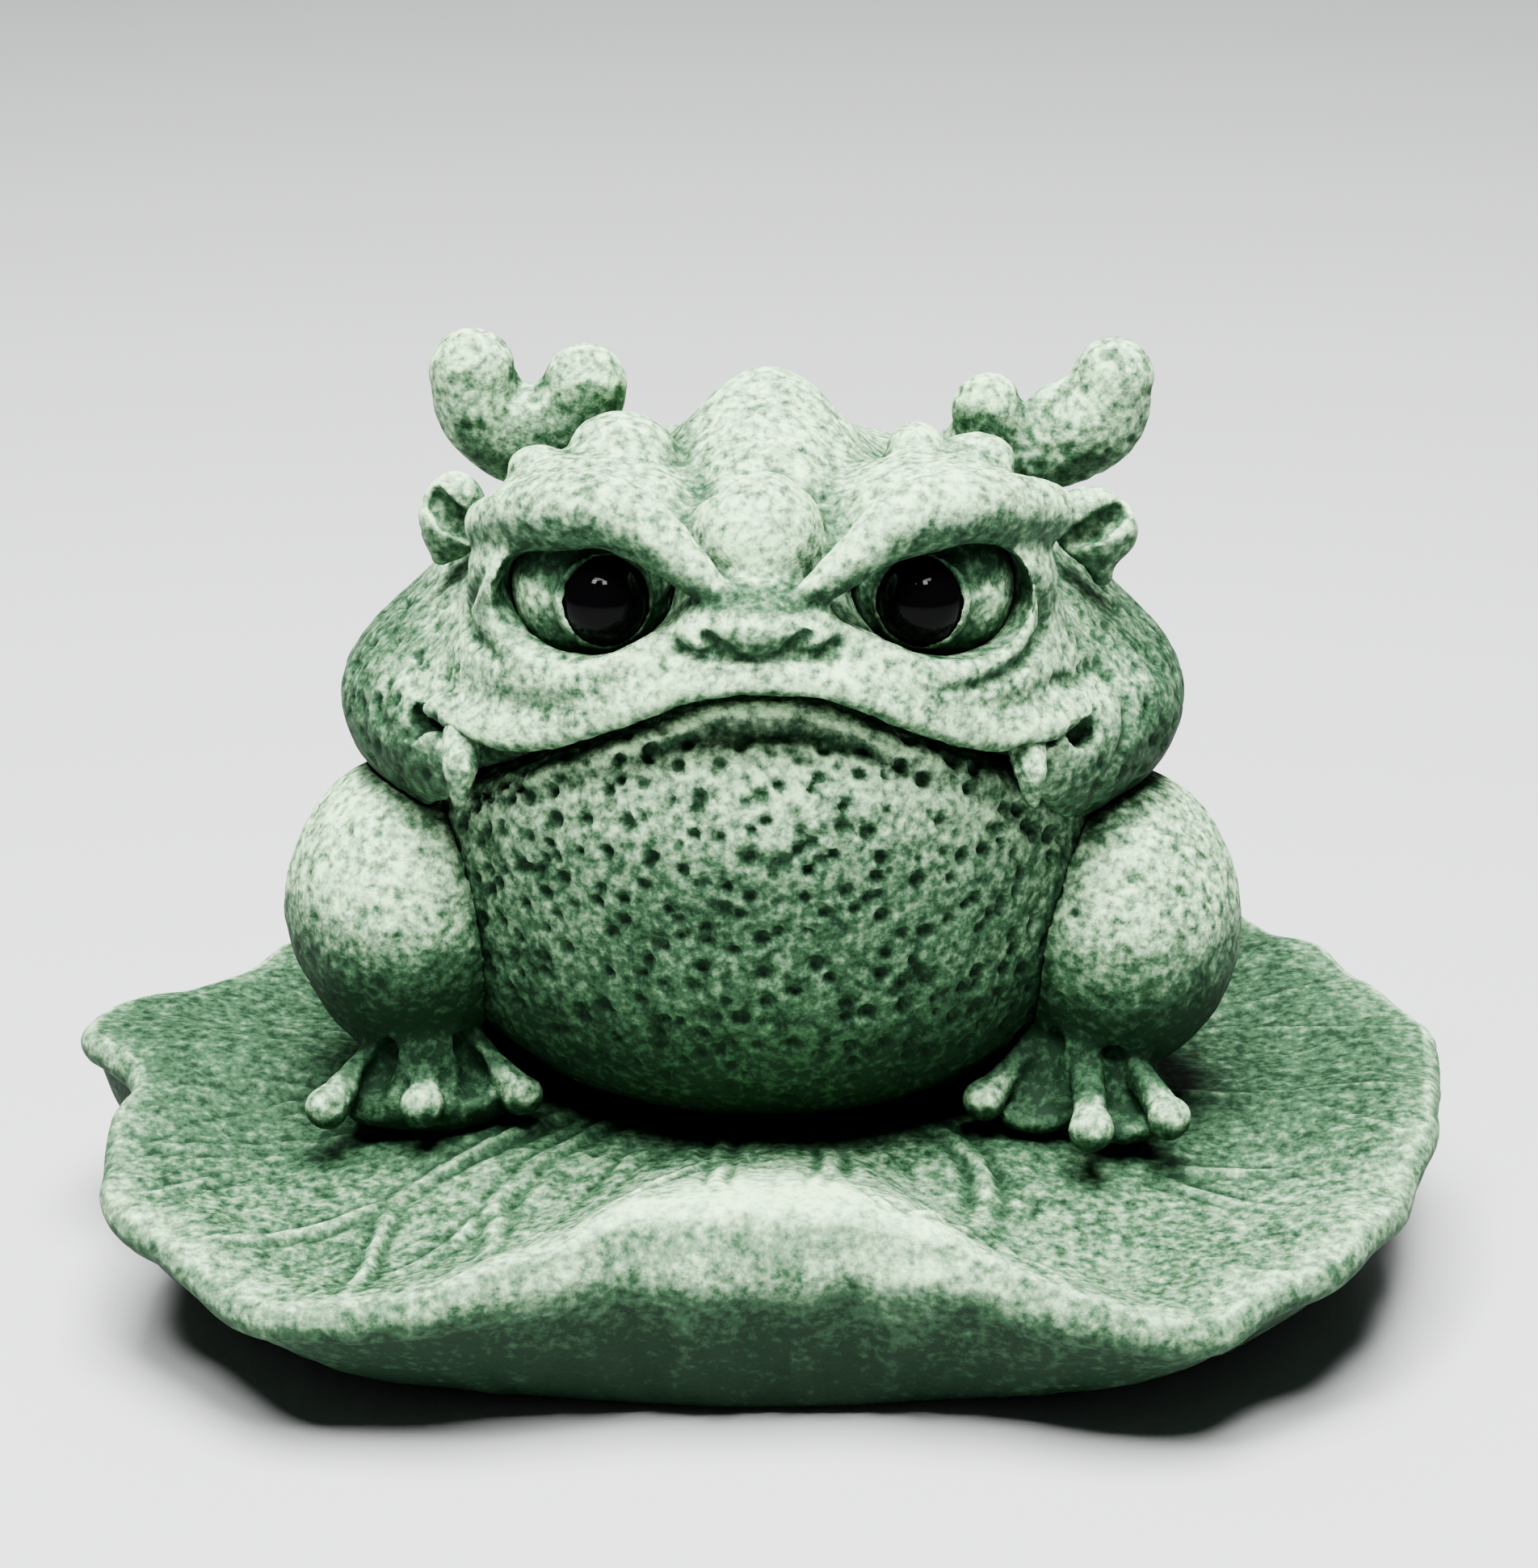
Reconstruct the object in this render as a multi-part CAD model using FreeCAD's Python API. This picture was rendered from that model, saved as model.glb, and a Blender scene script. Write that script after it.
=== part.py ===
"""Horned toad figurine on a lotus leaf, cast in green stone, as the sections it is bonded together from.

Millimetres. +Z is up and -Y is the toad's front.
The origin is the middle of the felt's underside, on the table.
Left and right are as seen from the front, so left is -X. Each named section is written to parts/NAME.step.
"""

import FreeCAD
import Part

import math
import os

Vector = FreeCAD.Vector

# Driving dimensions of the whole figurine.
BEAD_DIAMETER = 6.0
BOND_GAP = 0.1  # room for adhesive, on every face between two sections
FELT_THICKNESS = 1.0
FELT_PROUD = 0.2  # how far the felt stands below the leaf's foot
LEAF_SEAT_Z = 13.2  # the flat middle of the leaf, which the torso stands on
LEAF_SEAT_SHARE = 0.4  # share of the leaf's reach that stays flat
BODY_TOP_Z = 49.0

# The leaf's rim, anticlockwise from the front:
# angle in degrees from +X, reach from the middle, height of the edge.
LEAF_RIM = [
    (-90, 36.8, 16.1),
    (-75, 38.4, 15.3),
    (-66, 42.0, 13.2),
    (-58, 47.3, 10.7),
    (-46, 49.8, 11.4),
    (-32, 50.2, 12.8),
    (-17, 48.8, 14.4),
    (0, 48.8, 14.0),
    (16, 46.5, 14.2),
    (36, 45.5, 14.0),
    (62, 43.5, 15.2),
    (90, 42.0, 14.0),
    (120, 41.5, 15.4),
    (150, 41.2, 14.0),
    (166, 43.6, 14.2),
    (176, 48.6, 14.6),
    (184, 49.6, 15.6),
    (191, 46.4, 14.6),
    (202, 49.4, 13.2),
    (214, 50.6, 12.0),
    (226, 49.8, 11.4),
    (237, 47.3, 11.0),
    (246, 41.5, 14.0),
    (257, 38.2, 15.6),
]
LEAF_FOOT = (40.5, 31.0)  # half width and half depth of the foot
LEAF_SECTIONS = (FELT_PROUD, 3.0, 7.0, 11.0, 15.0, 20.0)  # heights of the bowl's cross-sections
LEAF_FLARE = 0.62  # below 1, the bowl's wall leaves the foot nearly level and steepens to the rim
LEAF_ANGLE_STEP = 6  # degrees between the points of a cross-section
LEAF_TOP_HALF_SIZE = (57.0, 51.0)  # the grid that shapes the upper face, wider than the leaf
LEAF_TOP_STEP = 3.0
FELT_INSET = 3.0  # inside the foot's edge

BIG = 80.0  # longer than the figurine, for the blocks that cut it

# The torso's level cross-sections: height, middle in Y, half width, half depth.
TORSO_SECTIONS = [
    (LEAF_SEAT_Z, 2.0, 12.5, 11.0),
    (15.5, 1.6, 18.5, 17.3),
    (20.0, 1.0, 22.8, 22.2),
    (27.0, 0.7, 25.0, 25.3),
    (34.0, 0.3, 25.2, 24.9),
    (40.0, -0.8, 24.2, 23.4),
    (45.0, -2.2, 21.8, 21.4),
    (BODY_TOP_Z, -3.5, 17.0, 17.4),
]

# The mouth line, right half: distance from the middle, and height of the lower lip's edge.
MOUTH_LINE = [
    (0.0, 46.3),
    (5.0, 45.4),
    (9.0, 43.6),
    (13.0, 41.7),
    (17.0, 39.9),
    (21.0, 37.9),
    (26.0, 37.0),
    (32.0, 36.8),
]
MOUTH_OPENING = 1.6
MOUTH_DEPTH = 5.0
MOUTH_LOWEST_Z = 30.0
MOUTH_FRONT_Y = 55.0  # the slit is made in the block from here to 15 in front of the middle
THROAT_HALF_WIDTH = 19.2  # inside this the torso shows up to the mouth line; outside it the cheeks hang lower

# The head's masses: middle and radii. The first two are the cheeks and the cranium.
CHEEKS = ((0, -2, 41), (29.3, 23, 12))
HEAD_MASSES = [
    ((0, -1, 47), (22, 20.5, 12)),
    ((0, -14.5, 48.6), (12, 11.2, 5.2)),  # muzzle
    ((0, -24.0, 51.2), (4.8, 2.2, 2.2)),  # nose
    ((-0.5, -16.4, 57.0), (4.8, 4.8, 4.4)),  # knob of the forehead
    ((0.6, -3.0, 57.4), (7.6, 6.4, 6.9)),  # crest
    ((0.3, -9.0, 57.0), (6.0, 8.0, 4.4)),  # ridge from the crest to the knob
]
# The same on both sides, given for the right: middle, radii, and lean in degrees about Y.
SIDE_MASSES = [
    ((11.2, -13.6, 52.0), (9.2, 8.4, 6.6), 0.0),  # flesh round the eye
    ((12.6, -16.6, 57.6), (6.8, 4.0, 3.0), 8.0),  # brow
    ((6.6, -19.2, 56.2), (4.2, 3.4, 2.4), -32.0),  # inner end of the brow
]
HEAD_LOWEST_Z = 30.5

NECK_SPIGOT_R = 7.0
NECK_SPIGOT_Z = (40.0, 47.0)  # from inside the torso to the spigot's top
NECK_Y = 2.0
DOWEL_R = 1.5
DOWEL_LENGTH = 12.0
DOWEL_SPACING = 16.0
DOWEL_Y = 2.0
DOWEL_CLEARANCE = 0.05
DOWEL_HOLE_EXTRA = 0.3  # at each end

EYE_X = 10.4
EYE_Y = -19.3
EYE_Z = 52.4
EYEBALL_R = 5.2
EYEBALL_BACK = 4.2  # the bead's middle to the eyeball's middle
EYEBALL_SPREAD = 0.6  # the eyeballs sit a little wider apart than the beads
EYEBALL_DROP = 0.6  # and a little lower
EYEBALL_PEG_R = 1.5
EYEBALL_PEG_LENGTH = 4.5
BEAD_SEAT_GAP = 0.05
SOCKET_RADII = (7.0, 6.2, 4.6)
SOCKET_FORWARD = 2.4  # the socket's middle, in front of the eyeball's

# Horns: chains of (x, y, z, radius), the stem with its outer tine, then the inner tine.
HORNS = {
    "left_horn": (
        [(-12.6, -1.0, 57.6, 2.8), (-18.2, -1.6, 59.4, 3.1), (-19.7, -2.0, 63.6, 2.95)],
        [(-13.6, -1.6, 59.4, 2.8), (-12.2, -2.0, 62.7, 2.95)],
    ),
    "right_horn": (
        [(13.6, -1.0, 57.2, 2.7), (21.0, -1.6, 58.8, 2.9), (24.2, -2.0, 63.2, 2.8)],
        [(15.9, -1.6, 58.8, 2.5), (15.6, -2.0, 61.9, 2.4)],
    ),
}
HORN_TENON_R = 1.6
HORN_TENON_LENGTH = 7.5
HORN_TENON_START = 1.0  # how far up the horn the tenon begins
HORN_TENON_SLOPE = 0.25
HORN_TENON_DROP = -8.0

# Ears: middle of the cup, its lean in degrees about Y.
EARS = {"left_ear": ((-19.6, -8.6, 54.8), -28.0), "right_ear": ((20.8, -8.6, 53.6), 52.0)}
EAR_RADII = (2.4, 2.3, 3.9)
EAR_HOLLOW_FORWARD = 1.7
EAR_HOLLOW_RADII = (1.5, 2.0, 2.7)
EAR_TENON_R = 0.9
EAR_TENON_LENGTH = 5.0
EAR_TENON_START = (-1.2, 0.6, -0.4)  # from the ear's middle, towards the head
EAR_TENON_DIRECTION = (-1.0, 0.25, -0.15)

# Fangs: root and tip.
FANGS = {
    "left_fang": ((-19.9, -18.4, 42.2), (-20.0, -19.0, 38.9)),
    "right_fang": ((17.3, -19.9, 42.1), (17.7, -20.1, 39.0)),
}
FANG_ROOT_R = 1.4
FANG_TIP_R = 0.45
FANG_TENON_R = 0.5
FANG_TENON_LENGTH = 1.6
FANG_TENON_DIRECTION = (0, 0.25, 1)

# Front legs: middle and radii of the bulging upper arm, wrist, and the three toe tips.
FRONT_LEG_RADII = (9.2, 11.0, 9.4)
FRONT_LEGS = {
    "left_front_leg": (
        (-24.2, -7.0, 27.0),
        (-23.4, -13.0, 18.2),
        [(-29.8, -17.2, 15.6), (-23.2, -17.6, 15.8), (-16.6, -15.6, 15.9)],
    ),
    "right_front_leg": (
        (24.2, -7.0, 26.6),
        (21.8, -13.2, 18.0),
        [(15.1, -16.6, 15.9), (22.1, -21.2, 15.7), (27.5, -19.2, 15.7)],
    ),
}
FOREARM_START = (0.6, -10.5, 21.5)  # outwards from the wrist, then Y and Z
FOREARM_R = 5.4
WRIST_R = 3.6
PALM_MIDDLE_YZ = (-13.6, 15.6)
PALM_RADII = (5.6, 4.0, 2.6)
TOE_START_YZ = (-12.6, 16.8)
TOE_START_SHARE = 0.35  # of the way from the wrist to the toe's tip, across
TOE_ROOT_R = 1.3
TOE_TIP_R = 1.6
LEG_PEG_R = 2.0
LEG_PEG_START = 1.0  # inwards from the leg's middle
LEG_PEG_END_X = 12.0

# Hind legs: folded thigh, knee to heel, and a flat foot.
HIND_THIGH = (21.5, 15.3, 22.4)
HIND_THIGH_RADII = (9.5, 10.8, 9.6)
HIND_FOOT = (25.2, 16.5, 15.5)
HIND_FOOT_RADII = (4.4, 7.0, 2.6)
HIND_TOE_TIPS = [(29.2, 9.6, 15.6), (26.2, 7.6, 15.7), (22.8, 8.4, 15.7)]
HIND_TOE_START_YZ = (12.5, 15.9)
HIND_TOE_START_SHARE = 0.4


def smooth(low, high, value):
    """Rises smoothly from 0 at low to 1 at high."""
    t = min(1.0, max(0.0, (value - low) / (high - low)))
    return t * t * (3 - 2 * t)


def rim_at(angle):
    """(reach, height) of the leaf's rim at an angle in degrees, smooth all the way round."""
    angle = (angle + 90.0) % 360.0 - 90.0
    count = len(LEAF_RIM)

    def knot(i):
        turn, index = divmod(i, count)
        return LEAF_RIM[index][0] + 360.0 * turn, LEAF_RIM[index][1:]

    i = max(k for k in range(count) if LEAF_RIM[k][0] <= angle)
    (a0, p0), (a1, p1), (a2, p2), (a3, p3) = (knot(i + k) for k in (-1, 0, 1, 2))
    width = a2 - a1
    t = (angle - a1) / width
    found = []
    for k in range(2):
        slope1 = (p2[k] - p0[k]) / (a2 - a0) * width
        slope2 = (p3[k] - p1[k]) / (a3 - a1) * width
        found.append(
            p1[k] * (2 * t**3 - 3 * t**2 + 1)
            + slope1 * (t**3 - 2 * t**2 + t)
            + p2[k] * (3 * t**2 - 2 * t**3)
            + slope2 * (t**3 - t**2)
        )
    return found


def leaf_top_z(x, y):
    """Height of the leaf's upper face: flat where the toad stands, then rising or falling to the rim."""
    reach, height = rim_at(math.degrees(math.atan2(y, x)))
    share = math.hypot(x, y) / reach
    return LEAF_SEAT_Z + (height - LEAF_SEAT_Z) * smooth(LEAF_SEAT_SHARE, 1.0, share)


def foot_reach(angle):
    """Reach of the leaf's elliptical foot at an angle in degrees."""
    c, s = math.cos(math.radians(angle)), math.sin(math.radians(angle))
    return 1.0 / math.hypot(c / LEAF_FOOT[0], s / LEAF_FOOT[1])


def ellipsoid(middle, radii, lean=0.0):
    """An ellipsoid, leaned about Y by an angle in degrees."""
    scale = FreeCAD.Matrix()
    scale.scale(Vector(*radii))
    shape = Part.makeSphere(1.0).transformGeometry(scale)
    shape.rotate(Vector(0, 0, 0), Vector(0, 1, 0), lean)
    shape.translate(Vector(*middle))
    return shape


def union(shapes):
    """The shapes as one solid, with the seams between its own faces removed."""
    joined = shapes[0].multiFuse(shapes[1:]) if len(shapes) > 1 else shapes[0]
    return joined.removeSplitter()


def round_cone(start, start_r, end, end_r):
    """A rod between two points, as a list of a ball, a cone or cylinder, and a ball."""
    a, b = Vector(*start), Vector(*end)
    along = b - a
    if abs(start_r - end_r) < 1e-6:
        middle = Part.makeCylinder(start_r, along.Length, a, along)
    else:
        middle = Part.makeCone(start_r, end_r, along.Length, a, along)
    return [Part.makeSphere(start_r, a), middle, Part.makeSphere(end_r, b)]


def peg(start, direction, radius, length):
    """A round peg from a point along a direction."""
    return Part.makeCylinder(radius, length, Vector(*start), Vector(*direction))


def largest(shape):
    """The largest solid of a shape, without the slivers that a cut leaves."""
    return max(shape.Solids, key=lambda solid: solid.Volume)


def mirror_x(point, side):
    """A point of the right side, on the side asked for: -1 left, 1 right."""
    return (side * point[0],) + tuple(point[1:])


def make_leaf():
    """The lotus leaf: a solid bowl with a waved rim and a leaf-shaped top, recessed for the felt."""
    rings = []
    for z in LEAF_SECTIONS:
        points = []
        for angle in range(0, 360, LEAF_ANGLE_STEP):
            reach, height = rim_at(angle)
            foot = foot_reach(angle)
            share = ((z - FELT_PROUD) / (height - FELT_PROUD)) ** LEAF_FLARE
            r = foot + (reach - foot) * min(share, 1.0)
            points.append(Vector(r * math.cos(math.radians(angle)), r * math.sin(math.radians(angle)), z))
        curve = Part.BSplineCurve()
        curve.interpolate(points, PeriodicFlag=True)
        rings.append(Part.Wire(curve.toShape()))
    bowl = Part.makeLoft(rings, True, False)
    half_x, half_y = LEAF_TOP_HALF_SIZE
    columns = int(2 * half_x / LEAF_TOP_STEP) + 1
    rows = int(2 * half_y / LEAF_TOP_STEP) + 1
    grid = []
    for i in range(columns):
        x = -half_x + LEAF_TOP_STEP * i
        ys = [-half_y + LEAF_TOP_STEP * j for j in range(rows)]
        grid.append([Vector(x, y, leaf_top_z(x, y)) for y in ys])
    top = Part.BSplineSurface()
    top.interpolate(grid)
    below_top = top.toShape().extrude(Vector(0, 0, -BIG))
    leaf = bowl.common(below_top)
    return largest(leaf.cut(make_felt(BOND_GAP)))


def make_felt(gap=0.0):
    """The felt under the foot. With a gap, the recess that it lies in."""
    inset = FELT_INSET - gap
    ellipse = Part.Ellipse(Vector(0, 0, 0), LEAF_FOOT[0] - inset, LEAF_FOOT[1] - inset)
    face = Part.Face(Part.Wire(ellipse.toShape()))
    return face.extrude(Vector(0, 0, FELT_THICKNESS + gap))


def below_mouth(gap=0.0):
    """Everything below the mouth line, as a vault that runs from the face to the nape."""
    half = [Vector(x, 0, z - gap) for x, z in MOUTH_LINE]
    points = [Vector(-p.x, 0, p.z) for p in reversed(half[1:])] + half
    curve = Part.BSplineCurve()
    curve.interpolate(points)
    left, right = points[0], points[-1]
    low_right, low_left = Vector(right.x, 0, 0), Vector(left.x, 0, 0)
    sides = [
        curve.toShape(),
        Part.makeLine(right, low_right),
        Part.makeLine(low_right, low_left),
        Part.makeLine(low_left, left),
    ]
    profile = Part.Face(Part.Wire(sides))
    profile.translate(Vector(0, -BIG / 2, 0))
    return profile.extrude(Vector(0, BIG, 0))


def throat():
    """The space in front that the head leaves to the torso, from the mouth line down."""
    front = Part.makeBox(2 * THROAT_HALF_WIDTH, BIG / 2, BIG, Vector(-THROAT_HALF_WIDTH, -BIG / 2, 0))
    return below_mouth(-BOND_GAP).common(front)


def torso_form(grow=0.0):
    """The egg of the torso, before the neighbouring sections are taken out."""
    rings = []
    for z, y, half_x, half_y in TORSO_SECTIONS:
        wide, narrow = max(half_x, half_y), min(half_x, half_y)
        ellipse = Part.Ellipse(Vector(0, y, z), wide + grow, narrow + grow)
        shape = ellipse.toShape()
        if half_y > half_x:
            shape.rotate(Vector(0, y, z), Vector(0, 0, 1), 90)
        rings.append(Part.Wire(shape))
    egg = Part.makeLoft(rings, True, False)
    return egg.common(below_mouth(-grow))


def dowel_places():
    """Where the two dowels between the leaf and the torso stand."""
    return [(side * DOWEL_SPACING / 2, DOWEL_Y, LEAF_SEAT_Z - DOWEL_LENGTH / 2) for side in (-1, 1)]


def make_dowels():
    """Two steel dowels, as one group."""
    return Part.makeCompound([peg(place, (0, 0, 1), DOWEL_R, DOWEL_LENGTH) for place in dowel_places()])


def dowel_holes():
    """Holes for the dowels, a little wider and longer."""
    holes = []
    for x, y, z in dowel_places():
        start = (x, y, z - DOWEL_HOLE_EXTRA)
        holes.append(peg(start, (0, 0, 1), DOWEL_R + DOWEL_CLEARANCE, DOWEL_LENGTH + 2 * DOWEL_HOLE_EXTRA))
    return holes


def neck_spigot(gap=0.0):
    """The round spigot on the torso's top. With a gap, its socket in the head."""
    low, high = NECK_SPIGOT_Z
    return peg((0, NECK_Y, low), (0, 0, 1), NECK_SPIGOT_R + gap, high - low + gap)


def head_form():
    """Cheeks, cranium, muzzle, brows, forehead and crest, as one form."""
    forms = [ellipsoid(*CHEEKS)]
    forms += [ellipsoid(middle, radii) for middle, radii in HEAD_MASSES]
    for side in (-1, 1):
        for middle, radii, lean in SIDE_MASSES:
            forms.append(ellipsoid(mirror_x(middle, side), radii, side * lean))
    return union(forms)


def eye_middle(side):
    """The middle of an eye bead."""
    return (side * EYE_X, EYE_Y, EYE_Z)


def eyeball_middle(side):
    """The middle of the stone ball behind a bead."""
    return (side * (EYE_X + EYEBALL_SPREAD), EYE_Y + EYEBALL_BACK, EYE_Z - EYEBALL_DROP)


def eye_socket(side):
    """The hollow between the brow and the lower lid."""
    x, y, z = eyeball_middle(side)
    return ellipsoid((x, y - SOCKET_FORWARD, z), SOCKET_RADII)


def make_eye(side):
    """A black glass bead."""
    return Part.makeSphere(BEAD_DIAMETER / 2, Vector(*eye_middle(side)))


def eyeball_peg(side, gap=0.0):
    """The peg that holds an eyeball at the back of its socket."""
    x, y, z = eyeball_middle(side)
    start = (x, y + EYEBALL_R - EYEBALL_PEG_R, z)
    return peg(start, (0, 1, 0), EYEBALL_PEG_R + gap, EYEBALL_PEG_LENGTH + gap)


def make_eyeball(side):
    """A stone ball with a seat for the bead and a peg behind."""
    ball = Part.makeSphere(EYEBALL_R, Vector(*eyeball_middle(side)))
    seat = Part.makeSphere(BEAD_DIAMETER / 2 + BEAD_SEAT_GAP, Vector(*eye_middle(side)))
    return largest(union([ball, eyeball_peg(side)]).cut(seat))


def horn_tenon(name, gap=0.0):
    """The round tenon at a horn's root, pointing into the head."""
    x, y, z, _ = HORNS[name][0][0]
    inward = Vector(-x * HORN_TENON_SLOPE, 0, HORN_TENON_DROP).normalize()
    start = Vector(x, y, z) - inward * HORN_TENON_START
    return peg(tuple(start), tuple(inward), HORN_TENON_R + gap, HORN_TENON_LENGTH + gap)


def horn_form(name):
    """A horn's stem and two tines."""
    pieces = []
    for chain in HORNS[name]:
        for a, b in zip(chain, chain[1:]):
            pieces += round_cone(a[:3], a[3], b[:3], b[3])
    return union(pieces)


def ear_tenon(name, gap=0.0):
    """The tenon that joins an ear to the head."""
    (x, y, z), _ = EARS[name]
    side = 1 if x > 0 else -1
    across, back, up = mirror_x(EAR_TENON_START, side)
    direction = mirror_x(EAR_TENON_DIRECTION, side)
    return peg((x + across, y + back, z + up), direction, EAR_TENON_R + gap, EAR_TENON_LENGTH + gap)


def ear_form(name):
    """A leaf-shaped cup, open to the front."""
    (x, y, z), lean = EARS[name]
    cup = ellipsoid((x, y, z), EAR_RADII, lean)
    hollow = ellipsoid((x, y - EAR_HOLLOW_FORWARD, z), EAR_HOLLOW_RADII, lean)
    return cup.cut(hollow)


def fang_tenon(name, gap=0.0):
    """The tenon at a fang's root, pointing up into the lip."""
    root, _ = FANGS[name]
    return peg(root, FANG_TENON_DIRECTION, FANG_TENON_R + gap, FANG_ROOT_R + FANG_TENON_LENGTH + gap)


def fang_form(name):
    """A short blunt tooth."""
    root, tip = FANGS[name]
    return union(round_cone(root, FANG_ROOT_R, tip, FANG_TIP_R))


def leg_peg(middle, gap=0.0):
    """The peg between a leg and the torso, level, towards the middle of the body."""
    x, y, z = middle
    side = 1 if x > 0 else -1
    start = (x - side * LEG_PEG_START, y, z)
    length = abs(x) - LEG_PEG_START - LEG_PEG_END_X
    return peg(start, (-side, 0, 0), LEG_PEG_R + gap, length + gap)


def front_leg_form(name):
    """Bulging upper arm, wrist and three toes."""
    arm, wrist, toes = FRONT_LEGS[name]
    side = 1 if arm[0] > 0 else -1
    pieces = [ellipsoid(arm, FRONT_LEG_RADII)]
    outwards, y, z = FOREARM_START
    pieces += round_cone((wrist[0] + side * outwards, y, z), FOREARM_R, wrist, WRIST_R)
    pieces.append(ellipsoid((wrist[0], *PALM_MIDDLE_YZ), PALM_RADII))
    for toe in toes:
        start = (wrist[0] + (toe[0] - wrist[0]) * TOE_START_SHARE, *TOE_START_YZ)
        pieces += round_cone(start, TOE_ROOT_R, toe, TOE_TIP_R)
    return union(pieces)


def hind_leg_form(side):
    """Folded thigh over a flat foot with three toes."""
    pieces = [
        ellipsoid(mirror_x(HIND_THIGH, side), HIND_THIGH_RADII),
        ellipsoid(mirror_x(HIND_FOOT, side), HIND_FOOT_RADII),
    ]
    for tip in HIND_TOE_TIPS:
        start = (HIND_FOOT[0] + (tip[0] - HIND_FOOT[0]) * HIND_TOE_START_SHARE, *HIND_TOE_START_YZ)
        pieces += round_cone(mirror_x(start, side), TOE_ROOT_R, mirror_x(tip, side), TOE_TIP_R)
    return union(pieces)


def mouth_slit(torso_top):
    """The gap under the upper lip: a thin slice above the mouth line, only near the face."""
    slice_above = torso_top.copy()
    slice_above.translate(Vector(0, 0, MOUTH_OPENING))
    front = Part.makeBox(BIG, BIG / 2, BIG / 2, Vector(-BIG / 2, -MOUTH_FRONT_Y, MOUTH_LOWEST_Z))
    middle, radii = CHEEKS
    inner = ellipsoid(middle, (radii[0] - MOUTH_DEPTH, radii[1] - MOUTH_DEPTH, radii[2] + MOUTH_OPENING))
    return slice_above.common(front).cut(inner)


def make_head(torso, grown_torso):
    """The head, with the room of everything that is bonded to it taken out."""
    head = head_form()
    head = head.cut(grown_torso).cut(throat()).cut(neck_spigot(BOND_GAP))
    head = head.cut(Part.makeBox(BIG, BIG, BIG, Vector(-BIG / 2, -BIG / 2, HEAD_LOWEST_Z - BIG)))
    head = head.cut(mouth_slit(torso))
    for side in (-1, 1):
        head = head.cut(eye_socket(side))
        head = head.cut(Part.makeSphere(EYEBALL_R + BOND_GAP, Vector(*eyeball_middle(side))))
        head = head.cut(eyeball_peg(side, BOND_GAP))
    for name in HORNS:
        head = head.cut(horn_tenon(name, BOND_GAP))
    for name in EARS:
        head = head.cut(ear_tenon(name, BOND_GAP))
    for name in FANGS:
        head = head.cut(fang_form(name)).cut(fang_tenon(name, BOND_GAP))
    return largest(head)


def build():
    """Makes every section and writes one STEP each."""
    leaf = make_leaf()
    torso = torso_form()
    grown_torso = torso_form(BOND_GAP)
    head = make_head(torso, grown_torso)
    torso = union([torso, neck_spigot()])
    sections = {"leaf_base": leaf, "base_felt": make_felt(), "dowels": make_dowels(), "head": head}
    for name in FRONT_LEGS:
        arm = FRONT_LEGS[name][0]
        leg = front_leg_form(name).cut(grown_torso).cut(head).cut(leaf)
        sections[name] = union([largest(leg), leg_peg(arm)])
        torso = torso.cut(leg_peg(arm, BOND_GAP))
    for side, name in ((-1, "left_hind_leg"), (1, "right_hind_leg")):
        leg = hind_leg_form(side).cut(grown_torso).cut(head).cut(leaf)
        peg_middle = mirror_x(HIND_THIGH, side)
        sections[name] = union([largest(leg), leg_peg(peg_middle)])
        torso = torso.cut(leg_peg(peg_middle, BOND_GAP))
    for hole in dowel_holes():
        torso = torso.cut(hole)
        sections["leaf_base"] = sections["leaf_base"].cut(hole)
    sections["torso"] = largest(torso)
    for side, word in ((-1, "left"), (1, "right")):
        sections[word + "_eye"] = make_eye(side)
        sections[word + "_eyeball"] = make_eyeball(side)
    for name in HORNS:
        sections[name] = union([largest(horn_form(name).cut(head)), horn_tenon(name)])
    for name in EARS:
        sections[name] = union([largest(ear_form(name).cut(head)), ear_tenon(name)])
    for name in FANGS:
        sections[name] = union([fang_form(name), fang_tenon(name)])

    os.makedirs("parts", exist_ok=True)
    for name in sorted(sections):
        shape = sections[name]
        box = shape.BoundBox
        print(f"{name:16s} valid {shape.isValid()} solids {len(shape.Solids)}", end="")
        print(f"  volume {shape.Volume:9.1f}", end="")
        print(f"  x {box.XMin:6.1f} {box.XMax:6.1f}  y {box.YMin:6.1f} {box.YMax:6.1f}", end="")
        print(f"  z {box.ZMin:6.1f} {box.ZMax:6.1f}")
        shape.exportStep(os.path.join("parts", name + ".step"))


build()
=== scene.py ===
"""Visual model of the horned toad figurine, on its lotus leaf.

Every stone section is sculpted as a distance field in millimetres, in the frame of the CAD model, and meshed.
The pits, folds and veins are geometry. Two values on each point are read by the stone's material: one darkens it,
for dark paint washed into the hollows and for painted shade in sheltered places and on undersides; the other
lightens it, for wear and painted highlight on ridges and edges.
"""
import math

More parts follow.
